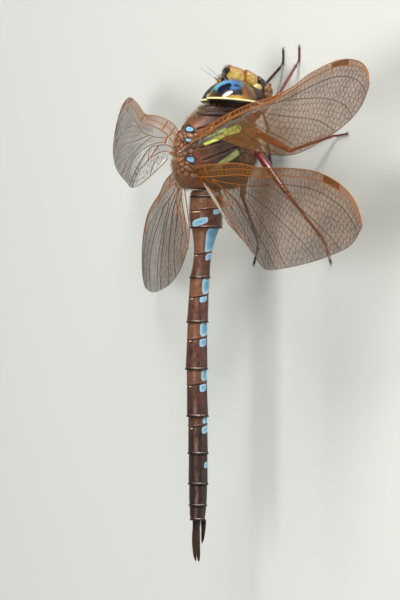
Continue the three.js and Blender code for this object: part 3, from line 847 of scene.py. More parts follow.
# %% Neck and collar
def neck_rings():
    """A waisted tube from inside the head into the thorax, with a raised collar round its middle."""
    # y, half width, half height, middle height
    table = [(-13.2, 1.6, 2.3, -4.2), (-13.05, 2.1, 2.9, -4), (-12.8, 2.5, 3.4, -3.8),
             (-12.55, 2.65, 3.62, -3.7), (-12.3, 2.66, 3.66, -3.6), (-12.12, 2.6, 3.6, -3.5),
             (-12, 2.66, 3.68, -3.4), (-11.8, 2.8, 3.85, -3.25), (-11.5, 2.85, 4, -3.1),
             (-11.1, 2.5, 3.6, -3)]
    y = np.linspace(table[0][0], table[-1][0], 60)
    wide, high, middle = smooth_table(table, y).T[..., None]
    turn = turns(96)[None, :]
    lobes = 1 + 0.05 * np.cos(2 * turn) - 0.06 * hill(wrapped(turn), 0.18)
    x = wide * lobes * np.sin(turn)
    z = middle + high * lobes * np.cos(turn)
    return grid_of(x, y[:, None], z)


neck = neck_rings()
neck_fields = {"low": 3, "plates": 0, "furrows": 0}
for mark in ("groove", "blue", "bright_bar", "dull_bar"):
    neck_fields[mark] = FAR
tube_piece("neck_collar", neck, neck_fields, thorax_shell, "thorax", "neck")
print("neck from", neck[0, 0, 1], "to", neck[-1, 0, 1])


# %% [markdown]
# ## Head
# Two eyes fill most of the head and meet along the top. In front of them the face steps down from the
# brow (frons) to the nose (clypeus), the upper lip (labrum) and the lower lip (labium). Each is an oval
# dome in its own piece. The whole head is shaped upright first and then tilted about its middle.

# %% The head's tilt
HEAD_MIDDLE = np.array([0, -14.6, -4.7])
HEAD_ROLL = np.radians(11)
HEAD_NOD = np.radians(5)
HEAD_BACK = -13.6  # the plane where the eyes end
HEAD_TURN = np.array(Matrix.Rotation(HEAD_NOD, 3, "X") @ Matrix.Rotation(HEAD_ROLL, 3, "Y"))


def tilt(points):
    return HEAD_MIDDLE + (points - HEAD_MIDDLE) @ HEAD_TURN.T


def dome(centre, half, rows, columns, last_lean=179, fullness=1):
    """An oval's points: centre + half * unit direction, in rings round the front-to-back axis.

    A ring leans from 0 degrees in front to last_lean. Fullness below 1, a power of each part of the
    direction, makes the oval boxier.
    """
    lean = np.radians(np.linspace(1, last_lean, rows))[:, None]
    turn = turns(columns)[None, :]
    way = grid_of(np.sin(lean) * np.cos(turn), -np.cos(lean), np.sin(lean) * np.sin(turn))
    return np.asarray(centre) + np.asarray(half) * np.sign(way) * np.abs(way) ** fullness, way


def soft_floor(values, low, width):
    """Values kept above low with a rounded corner: low + width * log(1 + exp((values - low) / width))."""
    return low + width * np.logaddexp(0, (values - low) / width)


# %% [markdown]
# ### Eyes
# An eye is thousands of tiny lenses on a smooth dome. Here it is one finely gridded oval, cut flat at
# the back and where it meets the other eye. Its colours change round the eye, from the seam on top to
# the cheek below, and from the rim forwards: brown and gold behind, blue in front with blue-black
# clouds in it. Fields hold how far forward and how far round a point lies.

# %% Eye shape
EYE_CENTRE = (1.7, -12, -5.1)
EYE_HALF = (3.2, 4.9, 4.25)
SEAM = 0.05  # half the gap between the eyes
# Blue-black clouds: millimetres forward, degrees round from the top, half sizes of both, and strength.
INK_CLOUDS = [(1.4, 49, 0.85, 21, 1), (2.05, 58, 0.42, 13, 1), (2.12, 86, 0.2, 11, 0.85),
              (0.95, 72, 0.5, 26, 0.8), (1.2, 88, 0.5, 9, 0.6), (1.1, 95, 0.5, 5, 1),
              (1.85, 97, 0.15, 9, 0.5)]


# The line behind the blue: degrees round from the top, and millimetres forward.
BLUE_LINE = ((10, 30, 45, 62, 80, 98, 114, 130), (1.5, 1, 0.7, 0.75, 1.1, 1.7, 2.35, 3.3))


def eye_shape(side, rows=150, columns=220):
    """An oval dome whose inner side is pressed flat at the seam and whose back is pressed flat.

    The share of blue is a soft step forward across a line that swings forwards towards the cheek.
    """
    rings, _ = dome(EYE_CENTRE, EYE_HALF, rows, columns, 72)
    out = soft_floor(rings[..., 0], SEAM, 0.07)
    y = -soft_floor(-rings[..., 1], -HEAD_BACK, 0.04)
    forward = HEAD_BACK - y
    height = (rings[..., 2] - EYE_CENTRE[2]) / EYE_HALF[2]
    down = np.degrees(np.arctan2((out - EYE_CENTRE[0]) / EYE_HALF[0], height))
    blue_from = np.interp(down, *BLUE_LINE)
    ink = np.zeros(out.shape)
    for cloud_forward, cloud_down, half_forward, half_down, strength in INK_CLOUDS:
        reach = np.hypot((forward - cloud_forward) / half_forward, (down - cloud_down) / half_down)
        ink = np.maximum(ink, strength * (1 - soft_step(reach, 0.45, 1.3)))
    # Painted shade: the left eye is darker over its upper part.
    ink = np.maximum(ink, 0.6 * (side > 0) * (1 - soft_step(down, 30, 62)))
    fields = {
        "forward": forward, "down": down, "seam": out - SEAM, "ink": ink,
        "blue": soft_step(forward, blue_from - 0.3, blue_from + 0.45),
        "facet_a": rings[..., 2], "facet_b": out + y,
    }
    return tilt(np.stack([side * out, y, rings[..., 2]], -1)), fields


# %% Eye finish
FACET = 0.07  # millimetres between lenses


# Colours round the eye, from its seam at 0 to ROUND degrees at 1.
ROUND = 160
REAR = [
    (0, (150, 118, 66)), (0.12, (88, 60, 28)), (0.24, (48, 35, 22)), (0.31, (34, 24, 20)),
    (0.39, (101, 58, 15)), (0.47, (178, 135, 54)), (0.56, (178, 139, 62)), (0.66, (144, 99, 44)),
    (0.76, (102, 67, 35)), (0.86, (66, 44, 24)), (0.95, (36, 24, 16))]
FRONT = [
    (0, (94, 90, 60)), (0.14, (64, 68, 52)), (0.28, (26, 30, 36)), (0.4, (26, 22, 24)),
    (0.52, (68, 37, 17)), (0.6, (61, 29, 14)), (0.66, (129, 78, 24)), (0.73, (90, 49, 27)),
    (0.82, (111, 81, 42)), (0.97, (121, 94, 52))]
SKY = [
    (0, (90, 126, 132)), (0.15, (92, 156, 184)), (0.25, (74, 142, 188)), (0.45, (52, 106, 164)),
    (0.56, (44, 94, 142)), (0.66, (76, 104, 112)), (0.78, (104, 108, 76)), (0.9, (95, 82, 50))]


def eye_finish():
    """A ramp of colour round the eye for its rear and one for its front, then blue, ink (with painted
    shade on the left eye) and rims.
    """
    made = Finish("eye_lenses", Roughness=0.3, Specular_IOR_Level=0.12, Coat_Weight=0.75,
                  Coat_Roughness=0.02)
    soft = made.noise(0.9, 3, 0.5)
    fine = made.noise(0.25, 3, 0.6)
    streaks = made.noise(0.7, 3, 0.6, (1, 0.35, 1))
    forward = made.field("forward") + (soft - 0.5) * 0.35
    down = made.field("down") + (soft - 0.5) * 16
    share = {"Fac": down / ROUND}
    ramps = [made.node("ShaderNodeValToRGB", {"stops": stops}, share) for stops in (REAR, FRONT, SKY)]
    rear, front, sky = ramps
    dark_streak = streaks.step(0.52, 0.68) * down.step(92, 104) * forward.step(0.3, 0.9)
    ink = made.field("ink") + (soft - 0.5) * 0.4 + (fine - 0.5) * 0.15
    made.set(Base_Color=made.cover(
        made.blend(forward.step(0.45, 1), rear, front),
        (dark_streak * 0.55, (70, 40, 24)),
        ((made.field("blue") + (fine - 0.5) * 0.25).step(0.15, 0.85), sky),
        (ink.step(0.08, 0.8), (9, 13, 27)),
        (forward.step(2.65, 3.05) * 0.65, (96, 84, 62)),
        ((made.field("forward") + (fine - 0.5) * 0.1).step(0.02, 0.22, 0.8, 0), (222, 204, 126)),
        (made.field("seam").step(0.04, 0.26, 0.9, 0), (172, 116, 56))))
    step = 2 * np.pi / FACET
    a, b = made.field("facet_a") * step, made.field("facet_b") * step
    lens = a.maths("COSINE") + (a * 0.5 + b * 0.866).maths("COSINE")
    lens = lens + (a * 0.5 - b * 0.866).maths("COSINE")
    made.relief((lens + 1.5) * 0.22 + fine * 0.2, 0.004, 0.3)
    return made


# %% Make the eyes
eye_lenses = eye_finish()
for side_name, side in SIDES.items():
    tube_piece(f"compound_eye_{side_name}", *eye_shape(side), eye_lenses, "eye", f"eye_{side_name}")

# %% [markdown]
# ### Back of the head
# Behind the eyes the head ends in a thin plate with the same two-lobed outline. A raised cream rim
# follows the eyes' edge, then comes a glossy black band, and the middle is brown round the neck.

# %% Plate behind the eyes
def eyes_outline(angle):
    """Distance from the head's middle to the edge of the two eyes' ovals at the back plane.

    It is the larger root of the quadratic that says where a ray meets the nearer eye's oval.
    """
    slice_share = np.sqrt(1 - ((HEAD_BACK - EYE_CENTRE[1]) / EYE_HALF[1]) ** 2)
    wide, high = EYE_HALF[0] * slice_share, EYE_HALF[2] * slice_share
    cos, sin = np.abs(np.cos(angle)), np.sin(angle)
    a = (cos / wide) ** 2 + (sin / high) ** 2
    b = -2 * EYE_CENTRE[0] * cos / wide**2
    c = (EYE_CENTRE[0] / wide) ** 2 - 1
    return (-b + np.sqrt(b * b - 4 * a * c)) / (2 * a)


def head_plate():
    """Rings of the eyes' outline, scaled in and out along y: a rim, a band and a hollow back."""
    # y, share of outline, extra millimetres, darkness field (0 cream, 1 black, 2 brown)
    table = [(-13.75, 0.9, 0, 0), (-13.68, 1, 0.02, 0), (-13.6, 1, 0.13, 0),
             (-13.5, 1, 0.15, 0.1), (-13.42, 1, 0.08, 0.5), (-13.33, 0.985, 0, 1),
             (-13.15, 0.94, 0, 1), (-13.02, 0.82, 0, 1.2), (-12.94, 0.62, 0, 1.9),
             (-12.9, 0.4, 0, 2), (-12.92, 0.15, 0, 2)]
    at = np.linspace(0, len(table) - 1, 90)
    y, share, extra, zone = smooth_table([(i, *row) for i, row in enumerate(table)], at).T[..., None]
    angle = turns(220)[None, :]
    reach = eyes_outline(angle) * share + extra
    rings = grid_of(reach * np.cos(angle), y, EYE_CENTRE[2] + reach * np.sin(angle))
    return tilt(rings), {"zone": zone}


def plate_finish():
    made = Finish("head_plate_shell", Specular_IOR_Level=0.5, Coat_Weight=0.4, Coat_Roughness=0.12)
    fine = made.noise(0.25, 4, 0.6)
    zone = made.field("zone") + (fine - 0.5) * 0.25
    colour = made.blend(zone.step(0.3, 0.55), (236, 226, 164), (20, 14, 11))
    colour = made.blend(zone.step(1.3, 1.9), colour, (96, 64, 46))
    made.set(Base_Color=colour, Roughness=fine.step(0.2, 0.8, 0.2, 0.45))
    made.relief(fine, 0.02, 0.6)
    return made


tube_piece("head_back_plate", *head_plate(), plate_finish(), "face", "head")
print("the plate is", round(float(eyes_outline(np.pi / 2)), 2), "mm high from its middle")

# %% [markdown]
# ### Face
# Brow, nose and lips are boxy domes with their own small dents and swellings, set one under the other
# so that a thin furrow is left where two meet. The brow carries a black T on its upper side, the upper
# lip is black at its sides, and cream jaws show beside it.

# %% Domes of the face
def face_dome(centre, half, form, rows, columns, fullness, slant=0):
    """A boxy oval dome moved along its own directions by form(out, y, z); out is counted from the middle.

    The slant moves a point back by its own share of the height it lies below the dome's middle.
    """
    rings, way = dome(centre, half, rows, columns, 179, fullness)
    rings[..., 1] -= slant * (rings[..., 2] - centre[2])
    out = np.abs(rings[..., 0])
    push, fields = form(out, rings[..., 1], rings[..., 2])
    none = {"furrow": FAR, "mark": FAR, "tan": FAR}
    return tilt(rings + way * push[..., None]), {**none, **fields}


def frons_form(out, y, z):
    """A flat-topped brow with a ridge along its front edge; the T is two bars on its upper side."""
    push = -0.15 * soft_step(z, -4.3, -3.7) + 0.08 * hill(z + 4.35, 0.2) * soft_step(-y, 17.6, 18.4)
    push = push - 0.1 * hill(out, 0.22) * hill(z + 5, 0.6)
    push = push - 0.08 * hill(np.hypot(out - 1.25, z + 5.5), 0.3)
    cross_bar = bar(out, y, (0, -18.5), (1.5, -18), 0.5, 0.5)
    stem = bar(out, y, (0, -18.4), (0, -16.6), 0.24, 0.34)
    under_eye = bar(out, y, (1.15, -17.15), (1.9, -16.4), 0.3, 0.35)
    mark = np.minimum(np.minimum(cross_bar, stem), under_eye) + 3 * soft_step(-z, 4.5, 4.95)
    return push, {"mark": mark, "tan": out - 1.7 + 0.5 * soft_step(y, -17.9, -17.3)}


def clypeus_form(out, y, z):
    """A nose with a cross furrow between its upper and lower parts and a small knob at each side."""
    furrow = np.abs(z + 7.95 + 0.1 * out)
    knob = 0.08 * hill(np.hypot(out - 1.45, z + 7.1), 0.3)
    push = -0.12 * hill(furrow, 0.1) + knob - 0.05 * hill(out, 0.2)
    return push, {"furrow": furrow + 0.02, "tan": out - 1.7}


def labrum_form(out, y, z):
    """An upper lip notched in the middle of its lower edge, black except for its middle."""
    push = -0.2 * hill(out, 0.22) * soft_step(-z, 9.2, 9.9) + 0.06 * hill(z + 8.8, 0.25)
    return push, {"mark": 1.5 + 0.15 * soft_step(-z, 9, 9.6) - out, "tan": out - 1.3}


def labium_form(out, y, z):
    """A lower lip split down the middle, with a swollen lobe at each side."""
    lobe = 0.12 * hill(np.hypot(out - 1.2, y + 15.6), 0.7) * soft_step(-z, 10.2, 10.9)
    push = -0.3 * hill(out, 0.14) + lobe
    push = push - 0.16 * hill(bar(out, y, (0.2, -14.6), (2.1, -15.4), 0, 0), 0.12)
    return push, {"furrow": out - 0.02}


def plain_form(out, y, z):
    return 0 * out, {}


# %% Face finish
BLACK = (20, 14, 12)
ORANGE = (160, 88, 32)
RUST = (104, 50, 20)


def face_finish(name, light, mid, dark, glossy=0.8):
    """Waxy horn from light to dark in clouds, with marks and furrows read from the dome's fields."""
    made = Finish(name, Specular_IOR_Level=0.5, Coat_Weight=glossy, Coat_Roughness=0.08)
    cloud = made.noise(0.8, 4, 0.6)
    fine = made.noise(0.16, 4, 0.65)
    mottle = made.noise(0.35, 3, 0.7)
    colour = made.cover(
        made.blend(cloud.step(0.35, 0.7), light, mid),
        ((mottle + (fine - 0.5) * 0.5).step(0.52, 0.72) * 0.75, dark),
        ((made.field("tan") + (cloud - 0.5) * 0.5).step(-0.1, 0.6, 0.92, 0),
         made.blend(cloud.step(0.35, 0.7), ORANGE, RUST)),
        ((made.field("furrow") + (fine - 0.5) * 0.06).step(0.04, 0.1, 0.8, 0), (92, 50, 24)),
        ((made.field("mark") + (fine - 0.5) * 0.16).step(-0.06, 0.05, 1, 0), BLACK))
    made.set(Base_Color=colour, Roughness=fine.step(0.2, 0.8, 0.2, 0.4))
    made.relief(fine * 0.7 + cloud * 0.4, 0.025, 0.7)
    return made


golden = face_finish("face_golden", (190, 172, 88), (162, 122, 48), (112, 62, 24), 1)
lip = face_finish("face_lip", (170, 130, 72), (146, 92, 46), (104, 54, 28))
cream_horn = face_finish("face_cream", (206, 190, 124), (184, 158, 92), (140, 104, 54))
mouth = face_finish("face_mouth", (136, 96, 58), (100, 62, 36), (58, 34, 22), 0.3)
dim_horn = face_finish("face_dim", (66, 46, 34), (44, 30, 24), (26, 18, 15), 0.4)
FACE_FULLNESS = np.array([0.84, 0.58, 0.55])
# name, centre, half axes, slant, form, finish, slot
FACE = [
    ("frons", (0, -17.2, -5.2), (2.2, 1.75, 1.75), 0.14, frons_form, golden, "face"),
    ("clypeus", (0, -16.95, -7.7), (2.15, 1.45, 1.25), 0.4, clypeus_form, golden, "face"),
    ("labrum", (0, -16.45, -9.35), (1.95, 1.25, 0.85), 0.5, labrum_form, lip, "face"),
    ("labium", (0, -15.4, -10.3), (2.05, 1.3, 0.95), 0.3, labium_form, mouth, "mouthparts"),
]
for part, centre, half, slant, form, finish, slot in FACE:
    shape = face_dome(centre, half, form, 90, 130, FACE_FULLNESS, slant)
    tube_piece(f"face_{part}", *shape, finish, slot, part)
print("face pieces", [row[0] for row in FACE])

# %% Cheeks, jaws and the crown with its three small eyes
# Each is an oval as (name, centre, half axes, finish, slot); those off the middle are mirrored.
ocellus_glass = Finish("ocellus_glass", Roughness=0.08, Coat_Weight=1, Coat_Roughness=0.03,
                       Base_Color=(222, 190, 130))
crown_horn = face_finish("face_crown", (206, 130, 40), (186, 104, 30), (110, 54, 20))
black_horn = face_finish("face_black", (30, 22, 18), (20, 14, 12), (12, 9, 8))
CROWN_BASE = ((0, -16.65, -3.85), (1.5, 0.6, 0.75))
SMALL_DOMES = [
    ("cheek", (0, -14.9, -7.9), (2.9, 1.6, 2.4), dim_horn, "mouthparts"),
    ("jaw", (1.6, -15.85, -8.55), (0.85, 0.75, 0.85), cream_horn, "mouthparts"),
    ("palp_lobe", (1.2, -16.3, -10.35), (0.75, 0.5, 0.5), mouth, "mouthparts"),
    ("palp", (1.55, -16.5, -10.6), (0.3, 0.45, 0.22), mouth, "mouthparts"),
    ("crown_base", *CROWN_BASE, black_horn, "face"),
    ("ocellus_side", (0.48, -16.55, -3.2), (0.2, 0.2, 0.2), ocellus_glass, "eye"),
    ("ocellus_front", (0, -17.1, -3.35), (0.22, 0.18, 0.2), ocellus_glass, "eye"),
    ("occiput", (0, -14, -1.75), (0.4, 0.5, 0.35), cream_horn, "face"),
    ("crown_dome", (0, -16.6, -3.3), (0.48, 0.45, 0.5), crown_horn, "face", "crown"),
]


def small_dome(centre, half):
    return face_dome(centre, half, plain_form, 40, 56, 0.9)


for part, (out, y, z), half, *finishing in SMALL_DOMES:
    sides = {"": 1} if out == 0 else {"_left": 1, "_right": -1}
    for suffix, side in sides.items():
        tube_piece(f"{part}{suffix}", *small_dome((side * out, y, z), half), *finishing)
print("small domes", len(SMALL_DOMES))

# %% Feelers
def feeler_rings(side):
    """A thick two-jointed base, then a hair-thin shaft in segments that tapers to its tip."""
    path = smooth_path([(side * 0.8, -16.7, -3.3), (side * 0.95, -17, -2.75),
                        (side * 1.3, -17.65, -1.75), (side * 1.68, -18.3, -0.62)], 60)
    share = np.linspace(0, 1, 60)
    base = 0.2 * soft_step(0.13 - share, -0.02, 0.02) + 0.13 * hill(share - 0.19, 0.04)
    rings_at = 1 + 0.35 * hill((share * 5) % 1 - 0.5, 0.12) * (share > 0.25)  # a swelling at each segment
    radius = 0.7 * base + (0.034 - 0.018 * share) * rings_at
    return tilt(carried_rings(path, radius, radius, 12))


feeler_horn = Finish("feeler_horn", Roughness=0.4, Specular_IOR_Level=0.5)
feeler_grain = feeler_horn.noise(0.12, 3, 0.6)
feeler_horn.set(Base_Color=feeler_horn.blend(feeler_grain.step(0.35, 0.7), (120, 112, 100), (72, 64, 56)))
feeler_horn.relief(feeler_grain, 0.01, 0.6)
for side_name, side in SIDES.items():
    tube_piece(f"feeler_{side_name}", feeler_rings(side), {}, feeler_horn, "feeler",
               f"antenna_{side_name}")


# %% [markdown]
# ## Legs
# A leg goes from a short cone in the breast (coxa), over a small ring (trochanter), to the thigh
# (femur), the shin (tibia) and a foot (tarsus) of three joints with two claws. Thigh and shin carry
# two rows of stiff spines that make a basket for catching flies. Each length is a tube along a straight
# path whose radius is read from a short table, and the spines are thin cones joined to it.

# %% Tubes and cones of a leg
SOLE = -AXIS_HEIGHT


def limb(start, end, table, columns=26, rows=70):
    """A tube from start to end; the table gives the radius at shares of its length."""
    share = np.linspace(0, 1, rows)[:, None]
    path = np.asarray(start) + (np.asarray(end) - np.asarray(start)) * share
    radius = smooth_table(table, share[:, 0])[:, 0]
    return carried_rings(path, radius, radius, columns)


def cones(roots, tips, radius, columns=3):
    """Many thin cones at once: a ring of corners round each root, and one corner at its tip."""
    ring = roots[:, None] + corner_rings(roots, tips, radius, columns)
    points = np.concatenate([ring, tips[:, None]], axis=1).reshape(-1, 3)
    first = (np.arange(len(roots)) * (columns + 1))[:, None, None]
    k = np.arange(columns)
    sides_of = np.stack([k, (k + 1) % columns, np.full(columns, columns)], -1)
    base = np.stack([np.zeros(columns - 2, int), k[2:], k[1:-1]], -1)
    return points, [(np.concatenate([sides_of, base])[None] + first).reshape(-1, 3)]


SPINE_RADIUS = 0.045


def spine_rows(start, end, radius, inward, count, length, darkness, first=0.12):
    """Two rows of spines along a limb, leaning towards its end, on the side that faces inward."""
    start, end, inward = (np.asarray(v, dtype=float) for v in (start, end, inward))
    ahead = (end - start) / np.linalg.norm(end - start)
    inward = inward - ahead * (inward @ ahead)
    inward /= np.linalg.norm(inward)
    across = np.cross(ahead, inward)
    roots, tips = [], []
    for row in (-1, 1):
        share = np.linspace(first, 0.97, count)[:, None] + row * 0.01
        way = inward * 0.75 + across * row * 0.66
        root = start + (end - start) * share + way * radius * 0.85
        roots.append(root)
        tips.append(root + (way + ahead * 0.75) * length * (1 - 0.35 * share))
    points, faces = cones(np.concatenate(roots), np.concatenate(tips), SPINE_RADIUS, 5)
    points[:, 2] = np.maximum(points[:, 2], SOLE + 0.005)
    return points, faces, {"share": darkness}


# %% Leg finish
def leg_finish(name, light, dark, black_from):
    """Glossy horn between light and dark that turns black where its share passes black_from."""
    made = Finish(name, Specular_IOR_Level=0.6, Coat_Weight=0.6, Coat_Roughness=0.1)
    cloud = made.noise(0.8, 3, 0.6)
    fine = made.noise(0.12, 4, 0.6)
    colour = made.blend(cloud.step(0.3, 0.7), light, dark)
    colour = made.blend(made.field("share").step(black_from, black_from + 0.5), colour, (24, 15, 13))
    made.set(Base_Color=colour, Roughness=fine.step(0.2, 0.8, 0.18, 0.36))
    made.relief(fine + cloud * 0.3, 0.02, 0.6)
    return made


red_horn = leg_finish("leg_red_horn", (126, 40, 34), (82, 26, 24), 2)
# A darker copy of the leg finish for the left legs: painted shade on the far side of the body.
shaded_leg = leg_finish("leg_shaded_horn", (58, 26, 24), (34, 18, 17), 1.2)
claw_horn = leg_finish("claw_horn", (60, 34, 24), (34, 20, 16), 0.2)


# %% Thickness of each length, as shares of length with a radius there
# A hip, its ring and a thigh are multiples of the leg's girth; a shin and a foot are millimetres.
COXA = np.array([(0, 1.55), (0.3, 1.7), (0.7, 1.45), (0.93, 1.1), (1, 0.6)])
TROCHANTER = np.array([(0, 0.8), (0.3, 1.15), (0.8, 1.05), (1, 0.6)])
FEMUR = np.array([(0, 0.6), (0.03, 0.88), (0.2, 1), (0.5, 0.92), (0.85, 0.72), (0.95, 0.74),
                  (0.985, 0.6), (1, 0.3)])
TIBIA = [(0, 0.2), (0.02, 0.3), (0.07, 0.31), (0.12, 0.24), (0.5, 0.22), (0.9, 0.2), (0.97, 0.23),
         (1, 0.12)]
FOOT_JOINT = [(0, 0.09), (0.08, 0.14), (0.7, 0.155), (0.92, 0.185), (1, 0.1)]
# A claw's path, as millimetres onwards, outwards and up from its root.
CLAW = ((0, 0, 0), (0.22, 0.14, 0.03), (0.42, 0.26, -0.03), (0.5, 0.3, -0.12))


# %% One leg
def make_leg(pair, side_name):
    """Thigh, shin, foot and claws of one leg, each its own piece."""
    side, girth = SIDES[side_name], LEGS[pair]["girth"]
    hip, knee, ankle, toe = (np.array(p, dtype=float) for p in LEGS[pair][side_name])
    heel, toe = np.array([*ankle[:2], SOLE + 0.2]), np.array([*toe, SOLE + 0.17])
    hip, knee, ankle, heel, toe = (p * [side, 1, 1] for p in (hip, knee, ankle, heel, toe))
    # painted shade: the far, left legs take the darker copy
    finish = red_horn if side < 0 else shaded_leg
    name = f"{pair}_{side_name}"
    ways = (knee - hip, ankle - knee, toe - heel)
    thigh_way, shin_way, foot_way = (way / np.linalg.norm(way) for way in ways)
    ring_end = hip + thigh_way
    share = np.linspace(0, 0.8, 70)[:, None]

    coxa = limb(hip + (-0.1 * hip[0], 0, 1.4), hip + (0, 0, -0.35), COXA * (1, girth), 32, 36)
    trochanter = limb(hip, ring_end, TROCHANTER * (1, girth), 26, 24)
    femur = limb(ring_end - thigh_way * 0.12, knee, FEMUR * (1, girth))
    spines = spine_rows(ring_end, knee, 0.8 * girth, shin_way, 12, 0.42, 1.7)
    parts = ((coxa, 0), (trochanter, 0), (femur, share))
    bodies = [body_of(rings, {"share": dark}) for rings, dark in parts]
    joined_piece(f"thigh_{name}", [*bodies, spines], finish, "leg", f"leg_{name}_femur")

    tibia = body_of(limb(knee, ankle, TIBIA, 22), {"share": 0.8 + share})
    spines = spine_rows(knee, ankle, 0.24, -thigh_way, 16, 0.85, 2, 0.1)
    joined_piece(f"shin_{name}", [tibia, spines], finish, "leg", f"leg_{name}_tibia")

    bodies = []
    for start, end in ((0, 0.26), (0.25, 0.58), (0.57, 0.94)):
        first = heel + (toe - heel) * start if start else ankle
        joint = limb(first, heel + (toe - heel) * end, FOOT_JOINT, 18, 26)
        bodies.append(body_of(joint, {"share": 1.2 + end}))
    spines = spine_rows(heel, heel + (toe - heel) * 0.9, 0.14, (0, 0, -1), 9, 0.24, 2.2)
    joined_piece(f"foot_{name}", [*bodies, spines], finish, "leg", f"leg_{name}_tarsus")

    claws = []
    across = np.cross(foot_way, (0, 0, 1))
    root = heel + (toe - heel) * 0.92
    share = np.linspace(0, 1, 20)
    radius = 0.07 * (1 - share) ** 0.7 + 0.006
    for turn_out in (-1, 1):
        way_out = across * turn_out
        path = smooth_path([root + foot_way * on + way_out * out + (0, 0, up) for on, out, up in CLAW], 20)
        path[:, 2] = np.maximum(path[:, 2], SOLE + 0.03)
        claws.append(body_of(carried_rings(path, radius, radius, 10), {"share": share[:, None]}))
    joined_piece(f"claws_{name}", claws, claw_horn, "leg")


for pair_name in LEGS:
    for side_name in SIDES:
        make_leg(pair_name, side_name)
print("legs made", len(LEGS) * 2)


# %% [markdown]
# ## Wings
# A dragonfly's wing is a sheet of clear amber skin, a few hundredths of a millimetre thick, stretched
# on tubes. A dozen main veins fan out from the root, the front ones stiff and orange. Hundreds of
# cross veins divide the sheet into cells: square ladders between the front veins and a net of five-
# and six-sided cells behind. Main veins are drawn here from short tables of distance behind the
# leading edge. The net comes from a Voronoi diagram: points are sown in rows between the veins, and
# a cross vein lies wherever two neighbouring points are equally near.

# %% Outlines of the wings, from root to tip
# Each entry holds a point of the leading edge and one of the trailing edge, (out, back).
FORE_OUTLINE = [((0, -0.2), (0.3, 3.6)), ((3, -0.9), (2.6, 6.2)), ((8, -1.35), (7.4, 9.2)),
                ((15, -1.1), (14.5, 10.6)), ((23.2, -0.2), (22.5, 11.2)), ((31, -0.8), (30.5, 11.3)),
                ((38, -0.8), (37.5, 10.9)), ((43.2, 0.7), (42.8, 9.8)), ((46, 2.9), (45.8, 8.1)),
                ((47, 5.4), (47, 5.6))]
HIND_OUTLINE = [((0, 0), (0.2, 2.2)), ((3, -0.6), (1.2, 5.6)), ((7.5, -1), (3.2, 9.6)),
                ((13, -1.2), (10, 12.6)), ((18.8, -0.8), (17.2, 13.7)), ((26, -1.1), (25, 13.2)),
                ((33.5, -0.9), (32.8, 11.8)), ((40, 0.7), (39.4, 10)), ((43.9, 3.1), (43.5, 8.3)),
                ((45.5, 5.6), (45.5, 5.8))]

# %% Main veins
# name: vein it leaves (or None from the root), what it runs into, radius at start and end, fold
# (up +, down -), and orange tone at start and end.
VEINS = {
    "costa": (None, None, 0.11, 0.06, 0.5, 1, 0.75),
    "subcosta": (None, "costa", 0.1, 0.07, -1, 1, 0.9),
    "radius": (None, "edge", 0.11, 0.05, 1, 1, 0.6),
    "radial_1": ("radius", "edge", 0.09, 0.045, -1, 0.9, 0.1),
    "radial_2": ("radial_1", "edge", 0.06, 0.04, -1, 0.4, 0),
    "between_2": ("radial_1", "edge", 0.07, 0.04, 1, 0.6, 0),
    "radial_3": ("radial_1", "edge", 0.065, 0.04, -1, 0.6, 0),
    "median": ("median_back", "edge", 0.08, 0.04, 1, 0.9, 0),
    "median_back": (None, "edge", 0.11, 0.04, -1, 1, 0),
    "cubitus": ("median_back", "edge", 0.08, 0.04, 1, 0.8, 0.1),
    "anal": (None, "cubitus", 0.1, 0.07, 0.6, 1, 0.8),
}
# The hind wing's own way with the two rear veins.
HIND_VEINS = {
    **VEINS,
    "cubitus": ("median_back", "edge", 0.08, 0.04, 1, 0.9, 0.2),
    "anal": (None, "cubitus", 0.1, 0.08, 0.6, 1, 0.9),
}
# Each vein's path as (out, millimetres behind the leading edge).
FORE_PATHS = {
    "costa": [(0, 0), (46.9, 0)],
    "subcosta": [(0, 0.9), (3, 0.95), (15, 0.85), (21.5, 0.55), (23.2, 0)],
    "radius": [(0, 1.5), (3, 1.75), (8, 1.8), (15, 1.7), (23.2, 1.25), (31, 1.08), (38, 1),
               (43, 0.85), (46.5, 0.5)],
    "radial_1": [(5.3, 2.3), (10, 3), (15, 3.2), (20, 2.9), (24, 2.35), (31, 2.35), (38, 2.5),
                 (43, 2.7), (46.4, 2.9)],
    "radial_2": [(24.5, 2.35), (30, 3.6), (36, 5.3), (42, 6.9), (44.3, 8.2)],
    "between_2": [(14.5, 3.2), (18, 3.9), (24, 4.8), (30, 6.5), (36, 8.7), (41, 11)],
    "radial_3": [(12.5, 3.15), (16, 4.5), (22, 6.4), (28, 9), (33.5, 12.7)],
    "median": [(5.3, 2.9), (9, 4.1), (14, 5.6), (20, 7.6), (26, 10.3), (31, 12.9)],
    "median_back": [(0, 2.2), (3, 2.7), (5.3, 3.3), (7.7, 4), (11.3, 5), (14, 7.4), (18, 10.2),
                    (21.3, 12.6)],
    "cubitus": [(7.7, 4), (8.8, 6.6), (10.5, 8.2), (13, 10), (15.8, 12.4)],
    "anal": [(0, 2.9), (3, 3.8), (6, 5.3), (8.8, 6.6)],
}
